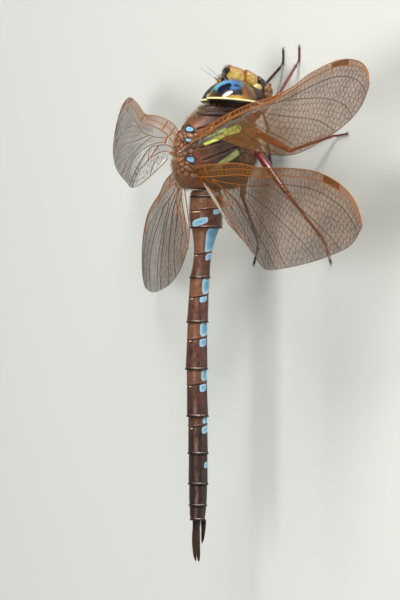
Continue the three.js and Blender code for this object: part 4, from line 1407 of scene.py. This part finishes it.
HIND_PATHS = {
    "costa": [(0, 0), (45.4, 0)],
    "subcosta": [(0, 0.85), (3, 0.95), (12, 0.85), (17, 0.55), (18.8, 0)],
    "radius": [(0, 1.4), (3, 1.75), (8, 1.75), (13, 1.6), (18.8, 1.25), (26, 1.1), (33, 1.02),
               (40, 0.85), (44.8, 0.5)],
    "radial_1": [(4.4, 2.3), (8, 2.9), (13, 3.1), (17, 2.8), (20, 2.35), (26, 2.35), (33, 2.5),
                 (40, 2.7), (44.8, 2.9)],
    "radial_2": [(20, 2.35), (26, 4), (32, 5.9), (38, 7.5), (42.3, 8.4)],
    "between_2": [(11, 3.1), (15, 3.9), (20, 5.1), (26, 7.4), (32, 10), (36.5, 12.2)],
    "radial_3": [(9.5, 3.05), (13, 4.6), (18, 7), (23, 10), (28.5, 14)],
    "median": [(4.4, 2.85), (7, 3.8), (12, 6), (17, 8.7), (22, 12), (25, 14.6)],
    "median_back": [(0, 1.8), (3, 2.7), (6.2, 3.9), (9.2, 5.3), (12, 7.7), (15, 10.2), (19.5, 14.8)],
    "cubitus": [(6.2, 3.9), (7, 6.5), (9, 8.6), (11.5, 11), (15, 14.9)],
    "anal": [(0, 2.05), (2, 3.6), (4, 4.9), (7, 6.5)],
}
# Steeper veins in the fields between main veins: the field's upper and lower main vein, then
# points (out, back), radius and tone.
FORE_STEEP = [("radial_3", "median", [(5.25, 0.7), (5.3, 1.9)], 0.1, 0.9),
              ("median_back", "cubitus", [(11.2, 3.6), (9.9, 4.9), (8.9, 5.3)], 0.06, 0.7),
              ("anal", "edge", [(4.2, 3.9), (4.6, 5.4), (4.2, 7.6)], 0.05, 0.5)]
HIND_STEEP = [("radial_3", "median", [(4.35, 0.95), (4.4, 2.1)], 0.1, 0.9),
              ("median_back", "cubitus", [(9.1, 4.2), (8, 5.4), (7.1, 5.5)], 0.06, 0.8),
              ("anal", "edge", [(1.3, 2.6), (1.7, 4.4), (2.6, 8.4)], 0.07, 1),
              ("anal", "edge", [(2.9, 3.7), (3, 6), (4.4, 9), (5.2, 11.2)], 0.06, 0.9),
              ("anal", "edge", [(5.2, 4.9), (5.1, 6.6), (6.2, 8.6), (8.3, 10), (9.4, 12.4)], 0.06, 0.7)]
# Nodus and spot (stigma) are places along the leading edge, strong are the two stout cross veins near
# the root, root is the hinge's place (out, y, z), pale is the flap's start and end along the trailing
# edge and its width, and clear is where clear skin ends, where full amber begins, and how clear it is.
WING_KINDS = {
    "fore": {"outline": FORE_OUTLINE, "veins": VEINS, "paths": FORE_PATHS, "steep": FORE_STEEP,
             "nodus": 23.2, "stigma": (36.8, 41), "strong": (4.6, 9.3), "root": (2.9, -8.2, 2.4),
             "pale": (0.02, 0.08, 0.7), "clear": (9, 26, 1)},
    "hind": {"outline": HIND_OUTLINE, "veins": HIND_VEINS, "paths": HIND_PATHS, "steep": HIND_STEEP,
             "nodus": 18.8, "stigma": (35, 39.2), "strong": (3.4, 8.2), "root": (2.8, -3.5, 1.6),
             "pale": (0.02, 0.2, 1.5), "clear": (0.5, 7, 0.2)},
}
# Droop and sweep, trailing edge's tip-up at root and tip (degrees), fall of the tip (millimetres),
# and the shares of the span between which the tip-up changes.
WING_POSES = {
    ("fore", "left"): (10.7, 12, 28, 9, 2.8, 0, 0.625),
    ("fore", "right"): (4.6, 12.2, 62, 17, 0.9, 0.4, 0.68),
    ("hind", "left"): (14.1, -12, -9, -1, 2.1, 0, 0.625),
    ("hind", "right"): (2.4, -4.8, -30, 4, 1.2, 0, 0.625),
}


# %% The plan of a wing
EDGE_STEPS = 600  # points along an edge of the wing
FOLD_HEIGHT = 0.17


class Plan:
    """One kind of wing laid flat: its edges and veins as curves back = f(out), all in millimetres."""

    def __init__(self, kind):
        self.kind = WING_KINDS[kind]
        outline = np.array(self.kind["outline"], dtype=float)
        steps = np.linspace(0, len(outline) - 1, EDGE_STEPS)
        number = np.arange(len(outline))
        self.edges = [smooth_table(np.column_stack([number, outline[:, k]]), steps) for k in (0, 1)]
        self.span = outline[-1, 0, 0]
        self.veins, self.paths = self.kind["veins"], self.kind["paths"]
        self.order = [*self.veins, "edge"]

    def lead(self, out):
        return np.interp(out, *self.edges[0].T)

    def trail(self, out):
        return np.interp(out, *self.edges[1].T)

    def edge_at(self, side, at):
        """Points of an edge (0 leading, 1 trailing) between its steps."""
        return np.stack([np.interp(at, np.arange(EDGE_STEPS), self.edges[side][:, k]) for k in (0, 1)], -1)

    def vein(self, name, out):
        """A vein's place: its own table where it runs, and beyond that the vein it leaves or joins."""
        out = np.asarray(out, dtype=float)
        if name == "edge":
            return self.trail(out)
        before, after, *_ = self.veins[name]
        table = self.paths[name]
        back = self.lead(out) + smooth_table(table, out)[..., 0]
        if before:
            back = np.where(out < table[0][0], self.vein(before, out), back)
        if after:
            back = np.where(out > table[-1][0], self.vein(after, out), back)
        return np.minimum(back, self.trail(out))

    def fold(self, name, out):
        """How far a vein stands up or down: its own height, grown from that of the vein it leaves."""
        if name == "edge":
            return 0 * out
        before, height, first = self.veins[name][0], self.veins[name][4], self.paths[name][0][0]
        fade = FOLD_HEIGHT * (1 - 0.6 * out / self.span)
        if not before:
            return height * fade
        grown = soft_step(out, first, first + 4)
        return height * fade * grown + self.fold(before, out) * (1 - grown)

    def rise(self, out, back):
        """Corrugation of the sheet: straight lines between the heights of neighbouring veins."""
        places = np.maximum.accumulate([self.vein(name, out) for name in self.order], axis=0)
        heights = np.array([self.fold(name, out) for name in self.order])
        lift = heights[0] * (back <= places[0])
        for k in range(len(self.order) - 1):
            share = np.clip((back - places[k]) / np.maximum(places[k + 1] - places[k], 0.05), 0, 1)
            inside = (back > places[k]) & (back <= places[k + 1])
            lift = np.where(inside, heights[k] + (heights[k + 1] - heights[k]) * share, lift)
        return lift * soft_step(self.trail(out) - back, 0, 2.5) * soft_step(self.span - out, 0, 3)


plans = {kind: Plan(kind) for kind in WING_KINDS}
print("wing spans", {kind: plan.span for kind, plan in plans.items()})

# %% [markdown]
# ### The net of cross veins
# Blender's own triangulation joins the sown points. The centre of the circle through a triangle's
# corners is where three cells meet, so joining the centres of neighbouring triangles draws the net.
# Where a cell borders a main vein, the end of its cross vein is moved onto that vein.

# %% Sowing the points
# Fields between main veins as (upper, lower, width of a cell); each field is sown from the place
# where its lower vein leaves the upper one.
FIELDS = [("costa", "subcosta", 1.1), ("subcosta", "radius", 1.1), ("radius", "radial_1", 1),
          ("radial_1", "radial_2", 0.95), ("radial_2", "between_2", 0.95), ("between_2", "radial_3", 0.95),
          ("radial_3", "median", 1), ("median", "median_back", 1), ("median_back", "cubitus", 1.05),
          ("cubitus", "anal", 1.1), ("anal", "edge", 1.05)]


def steep_place(points, back):
    """Where a steep vein stands at a distance back: straight lines between its points."""
    path = np.array(sorted(points, key=lambda point: point[1]))
    return np.interp(back, path[:, 1], path[:, 0])


def sow_field(plan, number, upper, lower, cell):
    """Columns of points across a field, each with as many rows as cells fit, staggered and jittered."""
    rows = []
    for out in np.arange(0.4, plan.span - 0.2, cell * 0.96):
        high, low = plan.vein(upper, out), plan.vein(lower, out)
        finer = cell * (0.95 - 0.22 * soft_step(out, plan.span * 0.72, plan.span))
        count = max(1, int(round((low - high) / finer)))
        if low - high < 0.3:
            continue
        row, loose = np.arange(count), count > 1
        back = high + (low - high) * (row + 0.5) / count
        place = out + (row % 2) * 0.5 * cell * loose + random.normal(0, 0.07, count) * loose
        back = back + random.normal(0, 0.06, count) * loose
        rows.append(np.column_stack([place, back, np.full(count, number), np.full(count, count)]))
    seeds = np.concatenate(rows)
    for top, bottom, points, *_ in plan.kind["steep"]:
        if (top, bottom) == (upper, lower):
            seeds[:, 2] += 100 * (seeds[:, 0] > steep_place(points, seeds[:, 1]))
    return seeds


def sow_outside(plan):
    """A row of points just outside the wing's edge, so that the outermost cells close on it."""
    border = np.concatenate([plan.edges[0], plan.edges[1][::-1]])
    length = np.concatenate([[0], np.cumsum(np.linalg.norm(np.diff(border, axis=0), axis=1))])
    at = np.arange(0, length[-1], 0.7)
    place = np.column_stack([np.interp(at, length, border[:, k]) for k in (0, 1)])
    ahead = unit(np.gradient(place, axis=0))
    outside = place + np.column_stack([ahead[:, 1], -ahead[:, 0]]) * 0.4
    return np.column_stack([outside, np.full(len(at), -1), np.ones(len(at))])


# %% From points to cross veins
SHORTEST = 0.14  # millimetres of a cross vein


def cross_veins(plan, main_points):
    """Start and end of each cross vein: it joins the centres of two triangles that share an edge.

    The centre is a + (turned c * |b|^2 - turned b * |c|^2) / (2 b x c), with b and c counted from a.
    """
    sown = [sow_field(plan, k, *field) for k, field in enumerate(FIELDS)]
    seeds = np.concatenate([*sown, sow_outside(plan)])
    places = [Vector(place) for place in seeds[:, :2]]
    _, _, faces, ids, _, _ = geometry.delaunay_2d_cdt(places, [], [], 0, 1e-6, True)
    kept = np.array([group[0] if group else -1 for group in ids])
    triangles = kept[np.array([face[:] for face in faces if len(face) == 3])]
    a, b, c = (seeds[triangles[:, k], :2] for k in range(3))
    b, c = b - a, c - a
    b2, c2 = (b**2).sum(1), (c**2).sum(1)
    step = np.column_stack([c[:, 1] * b2 - b[:, 1] * c2, b[:, 0] * c2 - c[:, 0] * b2])
    centre = a + step / (2 * np.cross(b, c))[:, None]
    mixed = np.ptp(seeds[triangles, 2], axis=1) > 0

    edges = np.concatenate([triangles[:, [0, 1]], triangles[:, [1, 2]], triangles[:, [2, 0]]])
    owner = np.tile(np.arange(len(triangles)), 3)
    edges.sort(axis=1)
    order = np.lexsort((edges[:, 1], edges[:, 0]))
    edges, owner = edges[order], owner[order]
    twin = np.nonzero((edges[1:] == edges[:-1]).all(axis=1))[0]
    pairs, first, second = edges[twin], owner[twin], owner[twin + 1]
    same = (seeds[pairs[:, 0], 2] == seeds[pairs[:, 1], 2]) & (seeds[pairs[:, 0], 2] >= 0)
    pairs, first, second = pairs[same], first[same], second[same]
    middle = (seeds[pairs[:, 0], :2] + seeds[pairs[:, 1], :2]) / 2

    ends = []
    for triangle in (first, second):
        way = centre[triangle] - middle
        length = np.linalg.norm(way, axis=1, keepdims=True)
        point = middle + way * np.minimum(1, 0.9 / np.maximum(length, 1e-6))
        gaps = np.linalg.norm(point[:, None] - main_points[None], axis=2)
        nearest = main_points[gaps.argmin(axis=1)]
        ends.append(np.where(mixed[triangle][:, None], nearest, point))
    field = (seeds[pairs[:, 0], 2] % 100).astype(int)
    single = (seeds[pairs[:, 0], 3] == 1) & (seeds[pairs[:, 1], 3] == 1)
    for k, (upper, lower, _) in enumerate(FIELDS):
        chosen = (field == k) & single
        out = middle[chosen, 0]
        for end, name, lean in ((ends[0], upper, -0.06), (ends[1], lower, 0.06)):
            end[chosen] = np.column_stack([out + lean, plan.vein(name, out + lean)])
    kept = np.linalg.norm(ends[0] - ends[1], axis=1) > SHORTEST
    return ends[0][kept], ends[1][kept], field[kept]


# %% The ladders in front
def ladder(plan, upper, lower, places, radius, tone, lean=0):
    """Cross veins at places between two veins: starts, ends, radii and tones."""
    start = np.column_stack([places - lean, plan.vein(upper, places - lean)])
    end = np.column_stack([places + lean, plan.vein(lower, places + lean)])
    return start, end, np.broadcast_to(radius, len(places)), np.full(len(places), tone)


def drawn_veins(plan):
    """Paths of the main veins, the steep ones and the edge: (points in the plan, radii, tones) each."""
    paths = []
    for name, (before, _, radius, thin, _, tone, pale) in plan.veins.items():
        first, last = plan.paths[name][0][0], plan.paths[name][-1][0]
        start = first - (0 if before else 0.9)
        out = np.linspace(start, last, int(6 + (last - start) * 5))
        share = np.linspace(0, 1, len(out))
        path = np.column_stack([out, plan.vein(name, np.maximum(out, first))])
        paths.append((path, radius + (thin - radius) * share**0.7, tone + (pale - tone) * share**0.6))
    for _, _, points, radius, tone in plan.kind["steep"]:
        path = smooth_path([(*point, 0) for point in points], 30)[:, :2]
        paths.append((path, np.full(30, radius), np.full(30, tone)))
    for side, radius in ((0, 0.05), (1, 0.035)):
        edge = plan.edges[side][::3]
        near_root = soft_step(12 - edge[:, 0], 0, 8)
        paths.append((edge, radius + 0.03 * near_root, 0.1 + 0.85 * near_root))
    return paths


def net_of(plan):
    """All the veins of one kind of wing: main paths, and cross veins with radius and tone."""
    paths = drawn_veins(plan)
    main_points = np.concatenate([path for path, _, _ in paths])
    start, end, field = cross_veins(plan, main_points)
    net = field > 1
    tone = 0.45 * soft_step(9 - start[:, 0], 0, 8) + 0.2 * (field == 2)
    sets = [(start[net], end[net], np.full(net.sum(), 0.026), tone[net])]
    nodus, (near, far) = plan.kind["nodus"], plan.kind["stigma"]
    before = np.arange(1.2, nodus - 0.3, 1.15)
    for upper, lower in (("costa", "subcosta"), ("subcosta", "radius")):
        sets.append(ladder(plan, upper, lower, before + random.normal(0, 0.07, len(before)), 0.042, 0.95))
    beyond_spot = np.arange(far + 0.5, plan.span - 0.7, 0.62)
    after = np.concatenate([np.arange(nodus + 0.8, near - 0.3, 1.05), beyond_spot])
    strong, braces = np.array(plan.kind["strong"]), np.array([nodus + 0.2, near - 0.1])
    sets += [ladder(plan, "costa", "radius", after, 0.036, 0.6),
             ladder(plan, "costa", "radius", strong, 0.09, 1),
             ladder(plan, "costa", "radius", braces, (0.11, 0.06), 1, 0.15),
             ladder(plan, "radius", "radial_1", braces + 0.5, 0.06, 0.9, 0.25)]
    return paths, [np.concatenate(parts) for parts in zip(*sets)]


nets = {kind: net_of(plan) for kind, plan in plans.items()}
print("cross veins", {kind: len(crosses[0]) for kind, (_, crosses) in nets.items()})

# %% [markdown]
# ### From the plan to the wing
# The flat plan is lifted into the wing's pose: arched across, folded at the veins, twisted from root
# to tip, bent down at the tip, and then drooped and swept about its root.

# %% Lifting points into place
HINGE_LINE = 1  # millimetres behind the root's middle, where the stiff front band ends
CAMBER = 0.7  # height of the arch across the wing
FRONT_TURN = np.radians(30)


def place_wing(plan, kind, side_name, out, back, lift=0):
    """Height is an arch of sines, the veins' folds and the lift; then twist, sag, droop and sweep.

    The stiff band in front of the hinge line turns by FRONT_TURN at most, the rest by the whole twist.
    """
    droop, sweep, tip_up_root, tip_up_tip, sag, twist_start, twist_end = WING_POSES[kind, side_name]
    side = SIDES[side_name]
    share = np.clip(out / plan.span, 0, 1)
    lead, trail = plan.lead(out), plan.trail(out)
    across = np.clip((back - lead) / np.maximum(trail - lead, 0.2), 0, 1)
    turn = np.radians(tip_up_root + (tip_up_tip - tip_up_root) * soft_step(share, twist_start, twist_end))
    front_turn = np.minimum(turn, FRONT_TURN)
    arch = CAMBER * np.sin(np.pi * across) * np.sin(np.pi * share)
    height = arch - sag * share**2 + plan.rise(out, back) + lift
    arm = back - HINGE_LINE
    ahead, behind = np.minimum(arm, 0), np.maximum(arm, 0)
    lean = front_turn + (turn - front_turn) * soft_step(arm, -0.8, 0.8)
    local = np.stack([
        side * out,
        HINGE_LINE + ahead * np.cos(front_turn) + behind * np.cos(turn) - height * np.sin(lean),
        ahead * np.sin(front_turn) + behind * np.sin(turn) + height * np.cos(lean)], -1)
    drooped = Matrix.Rotation(np.radians(side * droop), 3, "Y")
    swing = drooped @ Matrix.Rotation(np.radians(-side * sweep), 3, "Z")
    return local @ np.array(swing).T + np.array(plan.kind["root"]) * [side, 1, 1]


def rods(starts, ends, radius):
    """Many thin square bars at once: four corners round each start and each end, closed at both."""
    ring = corner_rings(starts, ends, radius, 4)
    points = np.concatenate([starts[:, None] + ring, ends[:, None] + ring], axis=1).reshape(-1, 3)
    k = np.arange(4)
    walls = np.stack([k, (k + 1) % 4, (k + 1) % 4 + 4, k + 4], -1)
    caps = np.array([k[::-1], k + 4])
    first = (np.arange(len(starts)) * 8)[:, None, None]
    return points, [(np.concatenate([walls, caps])[None] + first).reshape(-1, 4)]


def sheet_rings(wing, out, back, half_thick, lift):
    """A closed thin sheet over a grid of the plan: its upper and lower side as one flattened tube."""
    upper = place_wing(*wing, out, back, lift + half_thick)
    lower = place_wing(*wing, out, back, lift - half_thick)
    return np.concatenate([upper, lower[:, ::-1]], axis=1)


# %% Distance from each point of the sheet to the nearest vein
NEARBY = 1.5  # no point of the skin is further than this from a vein


def vein_distance(out, back, paths, crosses):
    """The smallest distance to points set closely along every vein, worked out a few rows at a time."""
    start, end = crosses[0], crosses[1]
    share = np.linspace(0, 1, 7)[:, None, None]
    along_crosses = (start + (end - start) * share).reshape(-1, 2)
    marks = np.concatenate([along_crosses, *[path for path, _, _ in paths]]).astype(np.float32)
    flat = np.column_stack([out.ravel(), back.ravel()]).astype(np.float32)
    nearest = []
    for part in np.array_split(flat, 60):
        low, high = part[:, 0].min() - NEARBY, part[:, 0].max() + NEARBY
        near = marks[(marks[:, 0] > low) & (marks[:, 0] < high)]
        gaps = (part[:, None, 0] - near[None, :, 0]) ** 2 + (part[:, None, 1] - near[None, :, 1]) ** 2
        nearest.append(np.sqrt(gaps.min(axis=1)))
    return np.concatenate(nearest).reshape(out.shape)


# %% Grids over the plan
def sheet_grid(plan, rows=330, columns=84):
    """Points between the two edges, taken at like shares of their length, a hair inside the outline."""
    at = np.linspace(0, EDGE_STEPS - 1, rows)
    lead, trail = plan.edge_at(0, at), plan.edge_at(1, at)
    share = np.linspace(0.002, 0.998, columns)[None, :, None]
    grid = lead[:, None] + (trail - lead)[:, None] * share
    return grid[..., 0], grid[..., 1]


sheets = {}
for kind, plan in plans.items():
    out, back = sheet_grid(plan)
    sheets[kind] = (out, back, vein_distance(out, back, *nets[kind]))
    print(kind, "sheet", out.shape, "furthest from a vein", round(float(sheets[kind][2].max()), 2), "mm")

# %% [markdown]
# ### Wing finishes
# The skin is clear amber and glossy, deeper in colour at the front edge and along each vein, and
# clearer towards the root. It is a closed sheet, so light passes two faces, and each lets most of it
# through. The veins are brown, and orange where they are stiff.

# %% Wing finishes
def skin_finish():
    made = Finish("wing_skin", Specular_IOR_Level=0.4, Coat_Weight=0.3, Coat_Roughness=0.08)
    cloud = made.noise(5, 3, 0.5)
    fine = made.noise(0.5, 3, 0.6)
    vein = made.field("vein")
    front = made.field("front").step(0.5, 3.2, 1, 0)
    halo = vein.step(0.02, 0.14, 1, 0)
    colour = made.cover(made.blend(cloud.step(0.35, 0.7), (122, 76, 18), (92, 60, 18)),
                        (front * 0.7, (132, 78, 20)), (halo * 0.5, (72, 42, 20)))
    opacity = cloud.step(0.3, 0.75, 0.33, 0.41) - made.field("clear") * 0.33
    opacity = opacity + front * 0.06 + halo * 0.1 + (fine - 0.5) * 0.04
    made.set(Base_Color=colour, Alpha=opacity, Roughness=fine.step(0.25, 0.75, 0.12, 0.24))
    made.relief(vein.step(0, 0.5) + fine * 0.15, 0.05, 0.6)
    return made


def vein_finish():
    made = Finish("wing_vein", Specular_IOR_Level=0.5, Coat_Weight=0.3, Coat_Roughness=0.15)
    fine = made.noise(0.3, 3, 0.6)
    tone = made.field("tone") + (fine - 0.5) * 0.2
    colour = made.blend(tone.step(0.15, 0.85), (48, 32, 20), (164, 98, 30))
    # Painted highlights: lighter flecks on the orange veins.
    colour = made.blend(fine.step(0.5, 0.8) * tone.step(0.6, 1) * 0.5, colour, (196, 132, 62))
    made.set(Base_Color=colour, Roughness=fine.step(0.2, 0.8, 0.25, 0.4))
    made.relief(fine, 0.02, 0.5)
    return made


def plain_wing_finish(name, light, dark, roughness):
    """Cloudy horn for the wing spot, the pale flap and the hinge plates."""
    made = Finish(name, Specular_IOR_Level=0.5, Coat_Weight=0.3, Coat_Roughness=0.15)
    fine = made.noise(0.35, 4, 0.6)
    made.set(Base_Color=made.blend(fine.step(0.35, 0.7), light, dark),
             Roughness=fine.step(0.2, 0.8, roughness, roughness + 0.15))
    made.relief(fine, 0.02, 0.6)
    return made


wing_skin = skin_finish()
wing_vein = vein_finish()
spot_horn = plain_wing_finish("wing_spot_horn", (112, 66, 34), (84, 48, 26), 0.3)
pale_flap = plain_wing_finish("wing_pale_flap", (236, 234, 226), (204, 200, 188), 0.4)
hinge_horn = plain_wing_finish("wing_hinge_horn", (136, 84, 40), (76, 44, 26), 0.3)


# %% The four layers of a wing
SKIN_HALF = 0.015  # half the skin's thickness
# Hinge plates as (out, back) of the middle and half sizes.
HINGE_PLATES = [(-0.35, 0.25, (0.6, 0.3, 0.24)), (-0.45, 1.35, (0.55, 0.36, 0.26)),
                (-0.3, 2.5, (0.5, 0.34, 0.22))]


def skin_shape(wing, plan, kind):
    """The skin over its grid, puffed up a little between the veins, and what its finish reads."""
    out, back, vein = sheets[kind]
    clear_to, amber_from, clearness = plan.kind["clear"]
    clear = clearness * (1 - soft_step(out, clear_to, amber_from))
    fields = {"vein": vein, "front": back - plan.lead(out), "clear": clear}
    doubled = {name: np.concatenate([values, values[:, ::-1]], axis=1) for name, values in fields.items()}
    return sheet_rings(wing, out, back, SKIN_HALF, 0.045 * soft_step(vein, 0.03, 0.45)), doubled


def vein_bodies(wing, kind):
    """A tapering tube along each main vein and a square bar for each cross vein."""
    paths, (start, end, radius, tone) = nets[kind]
    bodies = []
    for path, radii, tones in paths:
        line = place_wing(*wing, path[:, 0], path[:, 1])
        bodies.append(body_of(carried_rings(line, radii, radii * 1.25, 8), {"tone": tones[:, None]}))
    starts, ends = (place_wing(*wing, place[:, 0], place[:, 1]) for place in (start, end))
    return [*bodies, (*rods(starts, ends, radius), {"tone": np.repeat(tone, 8)})]


def spot_rings(wing, plan):
    """The dark spot near the tip: a cushion of sines between the costa and the radius."""
    near, far = plan.kind["stigma"]
    share, across = np.meshgrid(np.linspace(0, 1, 60), np.linspace(0.06, 0.94, 12), indexing="ij")
    out = near + (far - near) * share + (across - 0.5) * 0.5
    lead = plan.vein("costa", out)
    back = lead + (plan.vein("radius", out) - lead) * across
    swell = 0.02 + 0.07 * np.sin(np.pi * share) ** 0.5 * np.sin(np.pi * across) ** 0.5
    return sheet_rings(wing, out, back, swell, 0)


def flap_rings(wing, plan):
    """The pale flap in the corner of the trailing edge: a strip whose width is a sine along it."""
    low, high, flap_width = plan.kind["pale"]
    share, across = np.meshgrid(np.linspace(0, 1, 50), np.linspace(0, 1, 10), indexing="ij")
    edge = plan.edge_at(1, (low + (high - low) * share) * (EDGE_STEPS - 1))
    width = flap_width * np.sin(np.pi * (0.12 + 0.88 * share)) ** 0.7 * across
    return sheet_rings(wing, edge[..., 0] + width * 0.85, edge[..., 1] - width * 0.35, 0.04, 0.02)


# %% One wing
def make_wing(kind, side_name):
    """Skin, veins, spot, pale flap and hinge plates of one wing."""
    plan = plans[kind]
    wing = (plan, kind, side_name)
    name = f"{kind}_{side_name}"
    tube_piece(f"wing_skin_{name}", *skin_shape(wing, plan, kind), wing_skin, "wing", f"wing_{name}")
    joined_piece(f"wing_veins_{name}", vein_bodies(wing, kind), wing_vein, "wing")
    tube_piece(f"wing_spot_{name}", spot_rings(wing, plan), {}, spot_horn, "wing")
    tube_piece(f"wing_flap_{name}", flap_rings(wing, plan), {}, pale_flap, "wing")
    plates = []
    for out, back, size in HINGE_PLATES:
        rings, _ = dome(place_wing(*wing, np.array([out]), np.array([back]))[0], size, 22, 30)
        plates.append(body_of(rings, {}))
    joined_piece(f"wing_hinge_{name}", plates, hinge_horn, "wing")


for wing_kind, wing_side in WING_POSES:
    make_wing(wing_kind, wing_side)
print("wings made", len(WING_POSES))


# %% [markdown]
# ## Hair
# Fine brown hair with pale tips covers the thorax: in patches between the wings, thicker on the
# shoulders, and longest round the hips. The head has a ruff behind the eyes and black bristles on the
# brow. A tuft is a thin cone of three sides that starts just under the skin and leans along it. All
# tufts of one place are one mesh.
# Each tuft also gets a small patch of its own in a map named OFBake, at the place of its root as read
# round and along the skin, so that an export can keep its colour.

# %% Places on a grid of skin
def plant(rings, weight, count):
    """Picks cells of a grid at random, each cell's chance being its area times the weight there."""
    side = np.roll(rings, -1, axis=1)[:-1] - rings[:-1]
    area = np.linalg.norm(np.cross(rings[1:] - rings[:-1], side), axis=-1)
    chance = (area * np.broadcast_to(weight, rings.shape[:2])[:-1]).ravel()
    row, column = np.divmod(random.choice(chance.size, count, p=chance / chance.sum()), rings.shape[1])
    return row, column, random.random((count, 1)), random.random((count, 1))


def read_at(grid, place):
    """A grid's value at picked places: the mean of a cell's four corners, weighted by nearness."""
    row, column, u, v = place
    beside = (column + 1) % grid.shape[1]
    near = grid[row, column] * (1 - v) + grid[row, beside] * v
    far = grid[row + 1, column] * (1 - v) + grid[row + 1, beside] * v
    return near * (1 - u) + far * u


# %% A coat of tufts
PATCH = 0.003  # width of a tuft's patch in the map
SUNK = 0.06  # how far under the skin a tuft starts


def coat(name, rings, weight, count, length, stand, flow, radius, finish, slot):
    """Tufts on a grid: tip = root + length * (stand * outwards + (1 - stand) * flow + chance).

    Length, stand and flow may be grids of their own; flow is the way that the hair lies.
    """
    shape = (*rings.shape[:2], 1)
    place = plant(rings, weight, count)
    root = read_at(rings, place)
    out = read_at(outward_normals(rings), place)
    long = read_at(np.broadcast_to(length, shape), place) * random.uniform(0.55, 1.2, (count, 1))
    up = read_at(np.broadcast_to(stand, shape), place)
    lie = read_at(np.broadcast_to(flow, (*shape[:2], 3)), place)
    way = up * out + (1 - up) * lie + random.normal(0, 0.22, (count, 3))
    points, faces = cones(root - out * SUNK, root + unit(way) * long, radius)
    tone = np.repeat(random.random(count), 4)
    piece = make_piece(name, points, faces, {"tone": tone, "share": np.tile((0, 0, 0, 1), count)})

    row, column, u, v = place
    centre = 0.01 + 0.98 * np.column_stack([(column + v[:, 0]) / shape[1], (row + u[:, 0]) / shape[0]])
    turn = 2 * np.pi * np.arange(3) / 3
    corner = np.zeros((4, 2))
    corner[:3] = np.column_stack([np.cos(turn), np.sin(turn)]) * PATCH / 2
    patches = (centre[:, None] + corner[None]).reshape(-1, 2)
    corners = np.empty(len(piece.data.loops), dtype=np.int32)
    piece.data.loops.foreach_get("vertex_index", corners)
    own_map = piece.data.uv_layers.new(name="OFBake")
    own_map.data.foreach_set("uv", patches[corners].astype(np.float32).ravel())
    return finish_with(piece, finish, slot)


# %% Hair finishes
def hair_finish(name, light, dark, tip):
    """Dull hair whose tufts run from light to dark, and towards the tip colour along each."""
    made = Finish(name, Roughness=0.6, Specular_IOR_Level=0.35)
    colour = made.blend(made.field("tone").step(0.1, 0.9), light, dark)
    made.set(Base_Color=made.blend(made.field("share") * 0.7, colour, tip))
    return made


pale_hair = hair_finish("hair_pale", (150, 100, 68), (78, 42, 28), (204, 174, 140))
ruff_hair = hair_finish("hair_ruff", (150, 122, 86), (70, 46, 32), (196, 176, 140))
black_bristle = hair_finish("hair_black", (34, 28, 24), (20, 16, 14), (40, 34, 30))

# %% Coat of the thorax
TUFT, FINE_TUFT = 0.017, 0.014  # radii of a tuft's root
out, y, z = np.abs(thorax_rings[..., 0]), thorax_rings[..., 1], thorax_rings[..., 2]
bare = np.minimum(thorax_fields["bright_bar"], thorax_fields["dull_bar"])
bare = np.minimum(bare, thorax_fields["blue"] * 1.5)
on_back = soft_step(z, 1.2, 2.4) * soft_step(y, -9.2, -7.5)
shoulder = soft_step(z, -0.5, 1.5) * (1 - soft_step(y, -11, -10))
low_down = 1 - soft_step(z, -6.6, -4.6)
waves = np.sin(4.3 * y + 2 * np.sin(3.1 * out)) * np.sin(3.7 * out + 1.3 * y)
patchy = np.clip(0.65 + 0.6 * waves, 0.1, 1.3)
thickness = (0.1 + 0.55 * on_back * patchy + 0.7 * shoulder + 1.1 * low_down) * soft_step(bare, 0, 0.35)
hair_length = (0.4 + 0.4 * on_back + 0.3 * shoulder + 0.75 * low_down)[..., None]
hair_stand = (0.25 + 0.2 * on_back + 0.45 * shoulder + 0.2 * low_down)[..., None]
hair_flow = np.stack([0.5 * low_down * np.sign(thorax_rings[..., 0]), 0.9 - 0.5 * low_down,
                      -0.2 - 0.7 * low_down], -1)
coat("coat_thorax", thorax_rings, thickness, 18000, hair_length, hair_stand, hair_flow, TUFT, pale_hair,
     "thorax")

# %% Ruff behind the head, hair at the waist and bristles on the brow
ruff = 0.15 + soft_step(neck[..., 2], -1.5, 0.2)
coat("coat_neck", neck, ruff, 1300, 0.6, 0.5, (0, -0.3, 0.5), FINE_TUFT, ruff_hair, "thorax")
waist = np.concatenate([ring_shape("abdomen_01", 0)[0], ring_shape("abdomen_02", 0.95)[0]])
coat("coat_waist", waist, 1, 1500, 0.45, 0.3, (0, 1, 0), FINE_TUFT, pale_hair, "chitin")
BRISTLES = {"frons": (170, 0.48), "clypeus": (90, 0.22), "labium": (90, 0.2)}  # how many, and how long
for part, centre, half, slant, form, *_ in FACE:
    if part in BRISTLES:
        grid, _ = face_dome(centre, half, form, 60, 80, FACE_FULLNESS, slant)
        weight = soft_step(grid[..., 2], -5.2, -4.2) if part == "frons" else 0.3
        weight = weight * soft_step(-grid[..., 1], 15.6, 16.4)
        coat(f"bristles_{part}", grid, weight, *BRISTLES[part], 0.8, (0, -0.3, 0.4), FINE_TUFT,
             black_bristle, "face")
grid, _ = small_dome(*CROWN_BASE)
weight = soft_step(grid[..., 2], -4, -3.4)
coat("bristles_crown", grid, weight, 110, 0.85, 0.85, (0, -0.2, 0.6), 0.015, black_bristle, "face")
print("coat pieces", 4 + len(BRISTLES))
